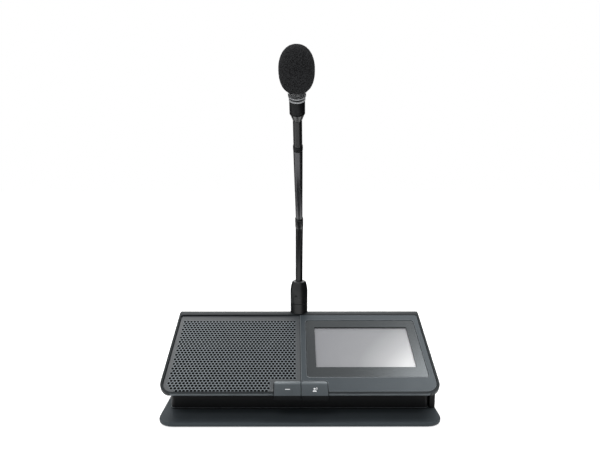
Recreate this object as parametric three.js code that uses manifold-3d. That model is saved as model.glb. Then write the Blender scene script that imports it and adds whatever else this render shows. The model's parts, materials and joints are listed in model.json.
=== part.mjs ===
// Conference delegate unit, in millimetres, +Z up, front towards -Y.
// A sloped desk console with a loudspeaker grille on the left, a touch screen on the right,
// two talk buttons at the front edge and a plug-in gooseneck microphone at the back.
// The origin is on the table, under the middle of the space that the unit takes up.
// The pieces are drawn from the middle of the base plate, and the whole is shifted at the end.
import * as THREE from 'three';
import { mergeVertices } from 'three/addons/utils/BufferGeometryUtils.js';
import Module from 'manifold-3d';

const wasm = await Module();
wasm.setup();

// Clearances shared by every piece
const gap = 0.3;            // between two pieces that touch
const seamGap = 0.4;        // the dark line between a panel and its frame
const overrun = 90;         // how far a cut runs past the solid it opens
const weld = 0.00004;       // corners closer than this are one corner
const guideGap = 0.5;      // round a button in its notch

// Base plate, its rubber feet and the case screws
const baseWidth = 257.2;
const baseDepth = 148.6;
const baseThickness = 4.1;
const baseCorner = 15;
const baseEdge = 1.1;
const footRadius = 7;
const footHeight = 1.7;
const footProud = 0.6;
const footInsetX = 16;
const footInsetY = 14;
const screwHeadRadius = 3.2;
const screwHeadHeight = 1.9;
const screwRadius = 1.5;
const screwLength = 8;
const screwInsetX = 24.3;      // screw axes inside the housing's walls
const screwInsetFront = 15.3;
const screwInsetBack = 14;
const crossRecessRadius = 1.5;
const crossRecessDepth = 1.1;

// Lower housing, an open tub with bosses for the screws
const bodyInset = 7.2;         // side walls inside the deck's side edges
const bodySetback = 27.3;      // front wall behind the base plate's front edge
const bodyBackInset = 14;      // back wall ahead of the base plate's back edge
const bodyWall = 2.2;
const bodyCorner = 4.5;
const lipWidth = 0.5;
const lipHeight = 0.8;
const bossRadius = 4;
const bossHeight = 6;

// Sloped top cover: a flat deck that rolls over a crown into a back skirt
const deckOverhang = 0.2;      // side edges outside the base plate's
const deckSetback = 10.8;      // front edge of the panels behind the base plate's front edge
const deckHeight = 29.1;       // front edge of the panels above the table
const deckTilt = 25.65;        // degrees
const crownSetback = 44;       // where the crown begins, ahead of the base plate's back edge
const deckFrontCorner = 14;
const deckBackCorner = 7;
const deckLedge = 1.2;         // chamfer under the front edge
const coverThickness = 3.6;
const crownRadius = 13;
const skirtSlope = 60;         // degrees below level
const skirtHeight = 36.6;        // lower edge of the skirt above the table
const rimWidth = 2.3;

// Panels let into the deck
const panelThickness = 1.3;
const panelSeamX = 0.9;
const panelBackMargin = 1.45;  // from the panels' back edge to where the crown begins
const notchCorner = 2.2;

// Loudspeaker grille: staggered rows of six-sided holes
const holeRadius = 2.29;
const holePitch = 8.1;
const rowPitch = 7.01;
const grilleMargin = 7.1;        // outermost hole centres from the panel's left edge
const grilleSeamMargin = 5.4;
const grilleFrontMargin = 5.2;
const grilleBackMargin = 9.4;
const grilleNotchSide = 5.5;     // round the button notch
const grilleNotchBack = 4.5;
const grilleCornerCut = 8;       // holes left out of the rounded front corner

// Cloth and loudspeaker under the grille
const clothThickness = 0.5;
const clothMargin = 2;
const speakerShare = 0.3218;     // its radius, of the panel's length
const speakerFront = 19;         // its flange inside the panel's front edge
const speakerFlange = 2;
const speakerOpeningShare = 0.85;
const basketDepthShare = 0.42;   // of the flange's radius, like the shares below
const basketFootShare = 0.45;
const basketWall = 1.2;
const coneThickness = 0.8;
const coneDepthShare = 0.27;
const dustCapShare = 0.24;
const dustCapRiseShare = 0.09;
const dustCapShares = [0.5, 0.8];  // of its radius and its rise, where its side turns in
const magnetShare = 0.48;
const magnetHeight = 9;

// Touch glass, display and the tray that holds it
const glassSeamMargin = 6.1;     // of panel left round the glass
const glassSideMargin = 5.3;
const glassFrontMargin = 16.9;
const glassBackMargin = 8.3;
const glassThickness = 1;
const glassCorner = 2.5;
const displayInsetX = 4;         // display inside the glass's edges
const displayInsetV = 5.15;
const displayThickness = 2.9;
const trayFlange = 2;
const trayWall = 0.8;
const trayFloor = 1.2;
const traySunk = 0.9;

// Talk buttons in the notch at the front edge
const buttonWidth = 24.3;
const buttonBack = 12;
const buttonRampEnd = 8;
const buttonNose = 6.1;
const buttonRise = 1.5;
const buttonRampRise = 0.2;
const buttonNoseRound = 0.9;
const buttonSkirt = 4.5;
const buttonSkirtWall = 1.4;
const buttonThickness = 3;
const buttonCorner = 2;
const stemRadius = 1.7;
const stemLength = 1.5;
const stemV = 5.6;
const buttonTravel = 0.8;

// Switch carrier under the talk buttons
const carrierFront = -1;
const carrierBack = 13;
const carrierDepth = 5.6;
const carrierWall = 1.2;
const carrierEar = 7;
const carrierEarLength = 5;
const carrierEarThickness = 2;
const buttonBoardThickness = 1.2;
const switchSize = 6;
const plungerRadius = 1.6;
const plungerHeight = 0.4;

// Circuit board and network sockets
const boardSideInset = 14.1;    // from the inside of the tub's walls
const boardFrontInset = 5.1;
const boardBackInset = 3;
const boardThickness = 1.6;
const boardHoleRadius = 1.7;
const socketWidth = 16.4;
const socketHeight = 13.4;
const socketDepth = 21;
const socketSpacing = 20;
const plugWidth = 11.9;
const plugHeight = 8.3;
const plugDepth = 14;
const plugRaise = 2.8;
const latchWidth = 6.2;
const latchDepth = 1.6;

// Side module with the headphone jack and the volume buttons
const moduleSetback = 0.8;      // its front end behind the housing's front wall
const moduleLength = 63;
const moduleFaceInset = 0.9;    // its face inside the deck's side edge
const moduleInset = 0.8;        // between the module and the tub's wall
const moduleCorner = 1.8;
const volumeWidth = 11;
const volumeHeight = 5.6;
const volumeDepth = 3.4;
const volumeProud = 0.7;
const volumeCorner = 1.2;
const volumeZ = 19.6;
const volumeDownPlace = 26;     // along the module from its front end
const volumeUpPlace = 40;
const volumeTravel = 0.6;
const jackPlace = 10;
const jackZ = 15.6;
const jackRadius = 3.9;
const jackBore = 1.8;
const jackFloor = 1.2;
const jackChamfer = 0.6;

// Gooseneck socket, plug and sleeve
const stemSetback = 35;         // its axis ahead of the base plate's back edge
const spotDepth = 1.4;
const sleeveRadius = 9.4;
const sleeveTopRadius = 7;
const sleeveHeight = 34.8;
const sleeveTaper = 10.7;
const sleeveTaperShares = [[0.3, 0.14], [0.56, 0.38], [0.84, 0.66]];  // up the taper, and in
const sleeveGrooveHeight = 10.6;
const sleeveGroove = 0.5;
const sleeveBore = 10;
const connectorRadius = 6;
const connectorDrop = 20;
const receptacleRadius = 9.3;
const receptacleHeight = 22;
const lockHeight = 19.6;
const lockAngle = 21;           // degrees to the left of the front
const lockRadius = 1.2;
const lockLength = 3;
const lockSunk = 0.4;
const lockHex = 0.6;
const lockHexDepth = 1.2;

// Flexible sections: ball-and-socket links, one hinge pitch long
const linkRadius = 3.93;
const linkRim = 2.2;            // lower rim of a link above its hinge
const lowerHinges = 8;
const lowerLength = 67.7;
const lowerBend = 42;           // degrees, forward
const sideLean = -1.1;          // degrees, to the left, where the tube begins
const upperHinges = 4;
const upperLength = 25.7;
const upperBend = -5;

// Rigid tube between the two flexible sections
const collarLength = 15;
const collarRadius = 4.1;
const collarEnd = 1.2;          // its rounded ends
const collarDraw = 0.2;         // how far the ends draw in
const tubeLength = 86.8;
const tubeLowRadius = 3.45;
const tubeHighRadius = 4.15;
const tubeBore = 2.2;
const ringLength = 4.9;
const ringRadius = 4.35;
const ringEdge = 0.5;

// Microphone head
const coneHeight = 6.6;
const headRadius = 6.45;
const headLength = 11.1;
const headEdge = 0.5;
const lowRingRadius = 6.8;
const lowRingHeight = 1.5;
const spacerRadius = 6.55;
const spacerHeight = 1;
const highRingLowRadius = 7.2;
const highRingRadius = 7.85;
const highRingHeight = 4.8;
const ringBore = 4.4;
const capsuleRadius = 5.2;
const capsuleLength = 12;
const capsuleStemRadius = 4;
const capsuleEdge = 0.8;
const foamRadius = 14.25;
const foamHalfLength = 19.8;
const foamDrop = 16.75;         // foam's lower face below its middle
const foamFullness = 2.25;      // exponent of its outline, 2 for an ellipse
const foamBore = 15;

const halfTurn = Math.PI;
const rad = THREE.MathUtils.degToRad;
const tilt = rad(deckTilt);

// Places worked out from the sizes above
const plateBottom = footProud;
const plateTop = plateBottom + baseThickness;
const bodyBottom = plateTop + gap;
const floorTop = bodyBottom + bodyWall;
const bossTop = floorTop + bossHeight;
const boardBottom = bossTop + gap;
const boardTop = boardBottom + boardThickness;
const bodyFrontY = -baseDepth / 2 + bodySetback;
const bodyBackY = baseDepth / 2 - bodyBackInset;
const deckFrontY = -baseDepth / 2 + deckSetback;
const deckLength = (baseDepth - deckSetback - crownSetback) / Math.cos(tilt);
const panelLength = deckLength - panelBackMargin;
const deckWidth = baseWidth + 2 * deckOverhang;
const panelHalf = deckWidth / 2 - rimWidth - seamGap;
const deckEdge = rimWidth + seamGap;
const underCover = coverThickness + gap;
const bodyWidth = deckWidth - 2 * bodyInset;
const stemY = baseDepth / 2 - stemSetback;

// The deck's own frame: x across, y up the slope from the panels' front edge, z out of the deck
const deckMatrix = new THREE.Matrix4()
  .makeTranslation(0, deckFrontY, deckHeight)
  .multiply(new THREE.Matrix4().makeRotationX(tilt));

function deckPoint(v, w) {
  return new THREE.Vector2(
    deckFrontY + v * Math.cos(tilt) - w * Math.sin(tilt),
    deckHeight + v * Math.sin(tilt) + w * Math.cos(tilt)
  );
}

const crownCentre = deckPoint(deckLength, -crownRadius);
const crownStart = halfTurn / 2 + tilt;
const crownEnd = halfTurn / 2 - rad(skirtSlope);
const crownTop = crownCentre.y + crownRadius;

// Materials, from the photograph
function finish(color, roughness, metalness) {
  return new THREE.MeshStandardMaterial({ color, roughness, metalness });
}
const blackPlastic = finish(0x1c1e20, 0.6, 0);
const coverPlastic = finish(0x3b3f43, 0.5, 0);
const panelPlastic = finish(0x4e5256, 0.5, 0);
const basePaint = finish(0x2f3235, 0.7, 0.1);
const rubber = finish(0x141414, 0.9, 0);
const steel = finish(0x8c8f92, 0.35, 0.9);
const darkMetal = finish(0x2a2b2d, 0.4, 0.6);
const satinMetal = finish(0x77787a, 0.35, 0.7);
const glassBlack = finish(0x3c4043, 0.1, 0);
const displayGrey = finish(0xb4b5b8, 0.4, 0);
const boardGreen = finish(0x1f4a33, 0.6, 0);
const clothBlack = finish(0x0c0c0d, 0.95, 0);
const conePaper = finish(0x202022, 0.9, 0);
const ringClear = finish(0xc8cacc, 0.3, 0);
const foamBlack = finish(0x222224, 1, 0);
const nickel = finish(0xa8aaac, 0.3, 0.9);

// Solids and booleans
function solidOf(geometry) {
  const plain = geometry.clone();
  plain.deleteAttribute('normal');
  plain.deleteAttribute('uv');
  const merged = mergeVertices(plain.index ? plain.toNonIndexed() : plain, weld);
  return new wasm.Manifold(new wasm.Mesh({
    numProp: 3,
    vertProperties: new Float32Array(merged.attributes.position.array),
    triVerts: new Uint32Array(merged.index.array),
  }));
}

function geometryOf(solid) {
  const mesh = solid.getMesh();
  const geometry = new THREE.BufferGeometry();
  geometry.setAttribute('position', new THREE.BufferAttribute(mesh.vertProperties, mesh.numProp));
  geometry.setIndex(new THREE.BufferAttribute(mesh.triVerts, 1));
  return geometry;
}

function cut(geometry, ...tools) {
  return geometryOf(tools.reduce((solid, tool) => solid.subtract(solidOf(tool)), solidOf(geometry)));
}

function join(geometry, ...others) {
  return geometryOf(others.reduce((solid, other) => solid.add(solidOf(other)), solidOf(geometry)));
}

function common(geometry, other) {
  return geometryOf(solidOf(geometry).intersect(solidOf(other)));
}

// Outlines
function roundedOutline(left, front, right, back, frontRadius, backRadius) {
  const shape = new THREE.Shape();
  shape.moveTo(left + frontRadius, front);
  shape.lineTo(right - frontRadius, front);
  shape.absarc(right - frontRadius, front + frontRadius, frontRadius, -halfTurn / 2, 0, false);
  shape.lineTo(right, back - backRadius);
  shape.absarc(right - backRadius, back - backRadius, backRadius, 0, halfTurn / 2, false);
  shape.lineTo(left + backRadius, back);
  shape.absarc(left + backRadius, back - backRadius, backRadius, halfTurn / 2, halfTurn, false);
  shape.lineTo(left, front + frontRadius);
  shape.absarc(left + frontRadius, front + frontRadius, frontRadius, halfTurn, halfTurn * 1.5, false);
  return shape;
}

function outlineFrom(points) {
  return new THREE.Shape(points.map(([x, y]) => new THREE.Vector2(x, y)));
}

// A plate with its outline in x and y, from one height up to another
function plate(shape, low, high, curveSegments = 3) {
  const settings = { depth: high - low, bevelEnabled: false, curveSegments };
  const geometry = new THREE.ExtrudeGeometry(shape, settings);
  return geometry.translate(0, 0, low);
}

// A block whose outline in y and z runs across from one x to another
function across(shape, left, right, curveSegments = 4) {
  const settings = { depth: right - left, bevelEnabled: false, curveSegments };
  const geometry = new THREE.ExtrudeGeometry(shape, settings);
  const turn = new THREE.Matrix4().makeBasis(
    new THREE.Vector3(0, 1, 0),
    new THREE.Vector3(0, 0, 1),
    new THREE.Vector3(1, 0, 0)
  );
  return geometry.applyMatrix4(turn).translate(left, 0, 0);
}

function box(left, front, low, right, back, high) {
  const geometry = new THREE.BoxGeometry(right - left, back - front, high - low);
  return geometry.translate((left + right) / 2, (front + back) / 2, (low + high) / 2);
}

function post(x, y, radius, low, high, sides = 16) {
  const geometry = new THREE.CylinderGeometry(radius, radius, high - low, sides);
  return geometry.rotateX(halfTurn / 2).translate(x, y, (low + high) / 2);
}

// A turned piece: its profile is a list of radius and height
function turned(profile, sides = 20) {
  const points = profile.map(([radius, height]) => new THREE.Vector2(radius, height));
  return new THREE.LatheGeometry(points, sides).rotateX(halfTurn / 2);
}

function arcPoints(radius, from, to, steps, height = 0) {
  return Array.from({ length: steps + 1 }, (_, i) => {
    const angle = from + (to - from) * i / steps;
    return [Math.abs(radius * Math.cos(angle)), height + radius * Math.sin(angle)];
  });
}

// The assembly
const unit = new THREE.Group();
const deck = new THREE.Group();
deck.position.set(0, deckFrontY, deckHeight);
deck.rotation.x = tilt;
unit.add(deck);

function place(parent, name, geometry, material) {
  const mesh = new THREE.Mesh(geometry, material);
  mesh.name = name;
  parent.add(mesh);
  return mesh;
}

// Base plate with recesses for the feet and counterbores for the case screws
const footPlaces = [-1, 1].flatMap(side => [-1, 1].map(end => [
  side * (baseWidth / 2 - footInsetX),
  end * (baseDepth / 2 - footInsetY),
]));
const screwPlaces = [-1, 1].flatMap(side => [
  bodyFrontY + screwInsetFront,
  bodyBackY - screwInsetBack,
].map(y => [side * (bodyWidth / 2 - screwInsetX), y]));

function makeBasePlate() {
  const shape = roundedOutline(
    -baseWidth / 2, -baseDepth / 2, baseWidth / 2, baseDepth / 2, baseCorner, baseCorner
  );
  const slab = new THREE.ExtrudeGeometry(shape, {
    depth: baseThickness - 2 * baseEdge,
    bevelThickness: baseEdge,
    bevelSize: baseEdge,
    bevelOffset: -baseEdge,
    bevelSegments: 2,
    curveSegments: 3,
  });
  slab.translate(0, 0, plateBottom + baseEdge);
  const recessTop = plateBottom + footHeight - footProud + gap;
  const headTop = plateBottom + screwHeadHeight + 2 * gap;
  const recesses = footPlaces.map(([x, y]) => post(x, y, footRadius + gap, -overrun, recessTop, 12));
  const heads = screwPlaces.map(([x, y]) => post(x, y, screwHeadRadius + gap, -overrun, headTop, 10));
  const shanks = screwPlaces.map(([x, y]) => post(x, y, screwRadius + gap, -overrun, overrun, 8));
  return cut(slab, ...recesses, ...heads, ...shanks);
}
place(unit, 'base_plate', makeBasePlate(), basePaint);

footPlaces.forEach(([x, y], i) => {
  place(unit, `foot_${i + 1}`, post(x, y, footRadius, 0, footHeight, 12), rubber);
});

function makeCaseScrew() {
  const head = post(0, 0, screwHeadRadius, 0, screwHeadHeight, 10);
  const shank = post(0, 0, screwRadius, screwHeadHeight / 2, screwHeadHeight + screwLength, 8);
  const recess = post(0, 0, crossRecessRadius, -overrun, crossRecessDepth, 6);
  return cut(join(head, shank), recess);
}
screwPlaces.forEach(([x, y], i) => {
  const screw = place(unit, `case_screw_${i + 1}`, makeCaseScrew(), steel);
  screw.position.set(x, y, plateBottom + gap);
});

// The line of the cover, drawn a given distance under its outer surface, down the skirt to a height
function skirtEnd(inset, height) {
  const fromY = crownCentre.x + (crownRadius - inset) * Math.cos(crownEnd);
  const fromZ = crownCentre.y + (crownRadius - inset) * Math.sin(crownEnd);
  return new THREE.Vector2(fromY + (fromZ - height) / Math.tan(rad(skirtSlope)), height);
}

// The space under the cover, from the housing's front wall to its back wall and down to the table
function underCoverBlock(left, right) {
  const shape = new THREE.Shape();
  const frontV = (bodyFrontY - deckFrontY - underCover * Math.sin(tilt)) / Math.cos(tilt);
  const frontTop = deckPoint(frontV, -underCover);
  const crownBegin = deckPoint(deckLength, -underCover);
  const drop = (skirtEnd(underCover, 0).x - bodyBackY) * Math.tan(rad(skirtSlope));
  shape.moveTo(bodyFrontY, 0);
  shape.lineTo(frontTop.x, frontTop.y);
  shape.lineTo(crownBegin.x, crownBegin.y);
  shape.absarc(crownCentre.x, crownCentre.y, crownRadius - underCover, crownStart, crownEnd, true);
  shape.lineTo(bodyBackY, drop);
  shape.lineTo(bodyBackY, 0);
  return across(shape, left, right);
}

// Lower housing
function bodyOutline(grow) {
  const half = bodyWidth / 2 + grow;
  const corner = bodyCorner + grow;
  return roundedOutline(-half, bodyFrontY - grow, half, bodyBackY + grow, corner, corner);
}

const socketPlaces = [-1, 1].map(side => side * socketSpacing / 2);
const socketBottom = boardTop + gap;

function makeLowerHousing() {
  const profile = underCoverBlock(-bodyWidth / 2, bodyWidth / 2);
  const outer = common(profile, plate(bodyOutline(0), bodyBottom, overrun));
  const lip = plate(bodyOutline(lipWidth), bodyBottom, bodyBottom + lipHeight);
  const cavity = plate(bodyOutline(-bodyWall), floorTop, overrun);
  const bosses = screwPlaces.map(([x, y]) => post(x, y, bossRadius, floorTop - bodyWall / 2, bossTop));
  const holeTop = plateBottom + screwHeadHeight + screwLength + 2 * gap;
  const holes = screwPlaces.map(([x, y]) => post(x, y, screwRadius + gap, -overrun, holeTop, 8));
  const windows = socketPlaces.map(x => box(
    x - socketWidth / 2 - gap, bodyBackY - bodyWall * 2, socketBottom - gap,
    x + socketWidth / 2 + gap, bodyBackY + overrun, socketBottom + socketHeight + gap
  ));
  return cut(join(cut(join(outer, lip), cavity), ...bosses), ...holes, ...windows);
}
place(unit, 'lower_housing', makeLowerHousing(), blackPlastic);

// Top cover
const notchLeft = panelSeamX - seamGap / 2 - buttonWidth - guideGap;
const notchRight = panelSeamX + seamGap / 2 + buttonWidth + guideGap;
const grilleRecess = panelThickness + 2 * gap + clothThickness;
const faceRecess = panelThickness + gap;
const speakerX = (panelSeamX - panelHalf) / 2;
const speakerRadius = panelLength * speakerShare;
const speakerV = speakerFront + speakerRadius;
const speakerOpening = speakerRadius * speakerOpeningShare;
const glassLeft = panelSeamX + glassSeamMargin;
const glassRight = panelHalf - glassSideMargin;
const glassFront = glassFrontMargin;
const glassBack = panelLength - glassBackMargin;
const displayLeft = glassLeft + displayInsetX;
const displayRight = glassRight - displayInsetX;
const displayFront = glassFront + displayInsetV;
const displayBack = glassBack - displayInsetV;

// The two panels share one outline, and each keeps its side of the seam
function panelBlock(left, right, grow, low, high) {
  const half = panelHalf + grow;
  const whole = roundedOutline(
    -half, -grow, half, panelLength + grow, deckFrontCorner - deckEdge + grow, notchCorner + grow
  );
  const side = box(left, -overrun, -overrun, right, panelLength + overrun, overrun);
  return common(plate(whole, low, high, 4), side);
}

function notchBlock(grow, low, high) {
  const back = buttonBack + guideGap - grow;
  return plate(
    roundedOutline(notchLeft + grow, -overrun, notchRight - grow, back, gap, notchCorner), low, high
  );
}

// A block round the display, larger than it on the sides and at the front and back
function displayBlock(growX, growV, low, high) {
  return box(
    displayLeft - growX, displayFront - growV, low, displayRight + growX, displayBack + growV, high
  );
}

function makeTopCover() {
  const hook = new THREE.Shape();
  const front = deckPoint(-deckEdge, 0);
  const frontLow = deckPoint(-deckEdge, deckLedge - coverThickness);
  const frontUnder = deckPoint(-deckEdge + deckLedge, -coverThickness);
  const crownBegin = deckPoint(deckLength, 0);
  const skirt = skirtEnd(0, skirtHeight);
  const skirtInner = skirtEnd(coverThickness, skirtHeight);
  hook.moveTo(front.x, front.y);
  hook.lineTo(crownBegin.x, crownBegin.y);
  hook.absarc(crownCentre.x, crownCentre.y, crownRadius, crownStart, crownEnd, true);
  hook.lineTo(skirt.x, skirt.y);
  hook.lineTo(skirtInner.x, skirtInner.y);
  hook.absarc(crownCentre.x, crownCentre.y, crownRadius - coverThickness, crownEnd, crownStart, false);
  hook.lineTo(frontUnder.x, frontUnder.y);
  hook.lineTo(frontLow.x, frontLow.y);
  const slab = across(hook, -deckWidth / 2, deckWidth / 2);
  const skirtV = (skirt.x - deckFrontY) * Math.cos(tilt) + (skirt.y - deckHeight) * Math.sin(tilt);
  const outline = roundedOutline(
    -deckWidth / 2, -deckEdge, deckWidth / 2, skirtV, deckFrontCorner, deckBackCorner
  );
  const plan = plate(outline, -overrun, overrun, 4).applyMatrix4(deckMatrix);
  const grilleBed = panelBlock(-overrun * 2, panelSeamX, seamGap, -grilleRecess, overrun);
  const faceBed = panelBlock(panelSeamX, overrun * 2, seamGap, -faceRecess, overrun);
  const soundWindow = post(speakerX, speakerV, speakerOpening, -overrun, overrun, 24);
  const displayWindow = displayBlock(gap, gap, -overrun, overrun);
  const onDeck = [grilleBed, faceBed, soundWindow, displayWindow, notchBlock(0, -overrun, overrun)];
  onDeck.forEach(tool => tool.applyMatrix4(deckMatrix));
  const spot = post(0, stemY, sleeveRadius + seamGap, crownTop - spotDepth, crownTop + overrun, 24);
  const bore = post(0, stemY, connectorRadius + gap, 0, crownTop + overrun, 16);
  return cut(common(slab, plan), ...onDeck, spot, bore);
}
place(unit, 'top_cover', makeTopCover(), coverPlastic);

// Grille plate: every hole is one prism, and all are cut at once
function grilleHoles() {
  const left = grilleMargin - panelHalf;
  const right = panelSeamX - grilleSeamMargin;
  const back = panelLength - grilleBackMargin;
  const rows = Math.floor((back - grilleFrontMargin) / rowPitch);
  const places = [];
  for (let row = 0; row <= rows; row += 1) {
    const v = back - row * rowPitch;
    const start = left + (row % 2) * holePitch / 2;
    for (let x = start; x <= right; x += holePitch) {
      const besideButtons = v < buttonBack + grilleNotchBack && x > notchLeft - grilleNotchSide;
      const inCorner = x - left + (v - grilleFrontMargin) < grilleCornerCut;
      if (!besideButtons && !inCorner) places.push([x, v]);
    }
  }
  return places;
}

function makeGrillePlate() {
  const left = panelBlock(-overrun * 2, panelSeamX - seamGap / 2, 0, -panelThickness, 0);
  const blank = solidOf(cut(left, notchBlock(0, -overrun, overrun)));
  const holes = grilleHoles().map(([x, v]) => solidOf(post(x, v, holeRadius, -overrun, overrun, 6)));
  return geometryOf(blank.subtract(wasm.Manifold.compose(holes)));
}
place(deck, 'grille_plate', makeGrillePlate(), panelPlastic);

function makeCloth() {
  const top = -panelThickness - gap;
  const sheet = panelBlock(
    -overrun * 2, panelSeamX - seamGap / 2 - clothMargin, -clothMargin, top - clothThickness, top
  );
  return cut(sheet, notchBlock(-clothMargin, -overrun, overrun));
}
place(deck, 'speaker_cloth', makeCloth(), clothBlack);

// Face panel round the touch glass
function makeFacePanel() {
  const right = panelBlock(panelSeamX + seamGap / 2, overrun * 2, 0, -panelThickness, 0);
  const window = plate(roundedOutline(
    glassLeft - seamGap, glassFront - seamGap, glassRight + seamGap, glassBack + seamGap,
    glassCorner + seamGap, glassCorner + seamGap
  ), -overrun, overrun);
  return cut(right, window, notchBlock(0, -overrun, overrun));
}
place(deck, 'face_panel', makeFacePanel(), panelPlastic);

const glassTop = -panelThickness + glassThickness;
place(deck, 'touch_glass', plate(roundedOutline(
  glassLeft, glassFront, glassRight, glassBack, glassCorner, glassCorner
), -panelThickness, glassTop), glassBlack);

const displayTop = -panelThickness - gap;
const displayBottom = displayTop - displayThickness;
place(deck, 'display_panel', displayBlock(0, 0, displayBottom, displayTop), displayGrey);

function makeDisplayTray() {
  const trayPocket = displayBottom - gap;
  const block = displayBlock(gap + trayWall, gap + trayFlange, trayPocket - trayFloor, -underCover);
  return cut(block, displayBlock(gap, gap, trayPocket, overrun));
}
place(deck, 'display_tray', makeDisplayTray(), steel);

// Loudspeaker under the grille
const flangeTop = -underCover;
const flangeBottom = flangeTop - speakerFlange;
const basketBottom = flangeBottom - speakerRadius * basketDepthShare;
const basketFoot = speakerRadius * basketFootShare;
const dustCapRadius = speakerRadius * dustCapShare;
const dustCapRise = speakerRadius * dustCapRiseShare;

function atSpeaker(geometry) {
  return geometry.translate(speakerX, speakerV, 0);
}

place(deck, 'speaker_frame', atSpeaker(turned([
  [speakerOpening, flangeTop],
  [speakerRadius, flangeTop],
  [speakerRadius, flangeBottom],
  [speakerOpening + basketWall, flangeBottom],
  [basketFoot + basketWall, basketBottom],
  [basketFoot, basketBottom],
  [speakerOpening, flangeBottom],
  [speakerOpening, flangeTop],
].reverse(), 20)), darkMetal);

const coneTop = flangeTop - coneThickness;
const coneFoot = coneTop - speakerRadius * coneDepthShare;
place(deck, 'speaker_cone', atSpeaker(turned([
  [0, coneFoot - coneThickness],
  [dustCapRadius, coneFoot - coneThickness],
  [speakerOpening - gap, coneTop - coneThickness],
  [speakerOpening - gap, coneTop],
  [dustCapRadius, coneFoot],
  [dustCapRadius * dustCapShares[0], coneFoot + dustCapRise * dustCapShares[1]],
  [0, coneFoot + dustCapRise],
], 20)), conePaper);

place(deck, 'speaker_magnet', atSpeaker(
  post(0, 0, speakerRadius * magnetShare, basketBottom - gap - magnetHeight, basketBottom - gap, 20)
), steel);

// Talk buttons, each in its half of the notch
function makeTalkButton(left) {
  const right = left + buttonWidth;
  const underside = buttonRise - buttonThickness;
  const profile = across(outlineFrom([
    [buttonBack, underside],
    [buttonBack, buttonRampRise],
    [buttonRampEnd, buttonRise],
    [-buttonNose + buttonNoseRound, buttonRise],
    [-buttonNose, buttonRise - buttonNoseRound],
    [-buttonNose, buttonNoseRound - buttonSkirt],
    [-buttonNose + buttonNoseRound, -buttonSkirt],
    [-buttonNose + buttonSkirtWall, -buttonSkirt],
    [-buttonNose + buttonSkirtWall, underside],
  ]), left, right);
  const stem = post(left + buttonWidth / 2, stemV, stemRadius, underside - stemLength, underside / 2, 10);
  return { profile, stem };
}

function trimmedButton(left, roundLeft, roundRight) {
  const { profile, stem } = makeTalkButton(left);
  const extraLeft = roundLeft ? 0 : buttonWidth;
  const extraRight = roundRight ? 0 : buttonWidth;
  const outline = roundedOutline(
    left - extraLeft, -overrun, left + buttonWidth + extraRight, buttonBack, buttonCorner, buttonCorner
  );
  return join(common(profile, plate(outline, -overrun, overrun)), stem);
}
const muteLeft = panelSeamX - seamGap / 2 - buttonWidth;
const speakLeft = panelSeamX + seamGap / 2;
place(deck, 'mute_button', trimmedButton(muteLeft, true, false), panelPlastic);
place(deck, 'speak_button', trimmedButton(speakLeft, false, true), panelPlastic);

// Switch carrier, its board and the two switches
const carrierTop = -underCover;
const carrierBottom = carrierTop - carrierDepth;
const pocketFloor = carrierBottom + carrierWall;
const buttonBoardBottom = pocketFloor + gap;
const buttonBoardTop = buttonBoardBottom + buttonBoardThickness;

function makeCarrier() {
  const tray = box(notchLeft, carrierFront, carrierBottom, notchRight, carrierBack, carrierTop);
  const ears = box(
    notchLeft - carrierEar, carrierBack - carrierEarLength, carrierTop - carrierEarThickness,
    notchRight + carrierEar, carrierBack, carrierTop
  );
  const pocket = box(
    notchLeft + carrierWall, carrierFront + carrierWall, pocketFloor,
    notchRight - carrierWall, carrierBack - carrierWall, overrun
  );
  return cut(join(tray, ears), pocket);
}
place(deck, 'switch_carrier', makeCarrier(), blackPlastic);

place(deck, 'button_board', box(
  notchLeft + carrierWall + gap, carrierFront + carrierWall + gap, buttonBoardBottom,
  notchRight - carrierWall - gap, carrierBack - carrierWall - gap, buttonBoardTop
), boardGreen);

const stemBottom = buttonRise - buttonThickness - stemLength;
const plungerTop = stemBottom - buttonTravel - gap;

function makeSwitch(x) {
  const low = buttonBoardTop + gap;
  const high = plungerTop - plungerHeight;
  const half = switchSize / 2;
  const body = box(x - half, stemV - half, low, x + half, stemV + half, high);
  return join(body, post(x, stemV, plungerRadius, low, plungerTop, 10));
}
place(deck, 'mute_switch', makeSwitch(muteLeft + buttonWidth / 2), blackPlastic);
place(deck, 'speak_switch', makeSwitch(speakLeft + buttonWidth / 2), blackPlastic);

// Circuit board on the bosses, and the network sockets at its back edge
function makeMainBoard() {
  const back = bodyBackY - bodyWall - boardBackInset;
  const front = bodyFrontY + bodyWall + boardFrontInset;
  const half = bodyWidth / 2 - bodyWall - boardSideInset;
  const slab = box(-half, front, boardBottom, half, back, boardTop);
  const holes = screwPlaces.map(([x, y]) => post(x, y, boardHoleRadius, -overrun, overrun, 8));
  return cut(slab, ...holes);
}
place(unit, 'main_board', makeMainBoard(), boardGreen);

function makeNetworkSocket(x) {
  const back = bodyBackY;
  const shell = box(
    x - socketWidth / 2, back - socketDepth, socketBottom,
    x + socketWidth / 2, back, socketBottom + socketHeight
  );
  const low = socketBottom + plugRaise;
  const cavity = box(
    x - plugWidth / 2, back - plugDepth, low, x + plugWidth / 2, back + overrun, low + plugHeight
  );
  const latch = box(
    x - latchWidth / 2, back - plugDepth, low - latchDepth,
    x + latchWidth / 2, back + overrun, low + latchDepth
  );
  return cut(shell, cavity, latch);
}
socketPlaces.forEach((x, i) => {
  place(unit, `network_socket_${i + 1}`, makeNetworkSocket(x), nickel);
});

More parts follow.
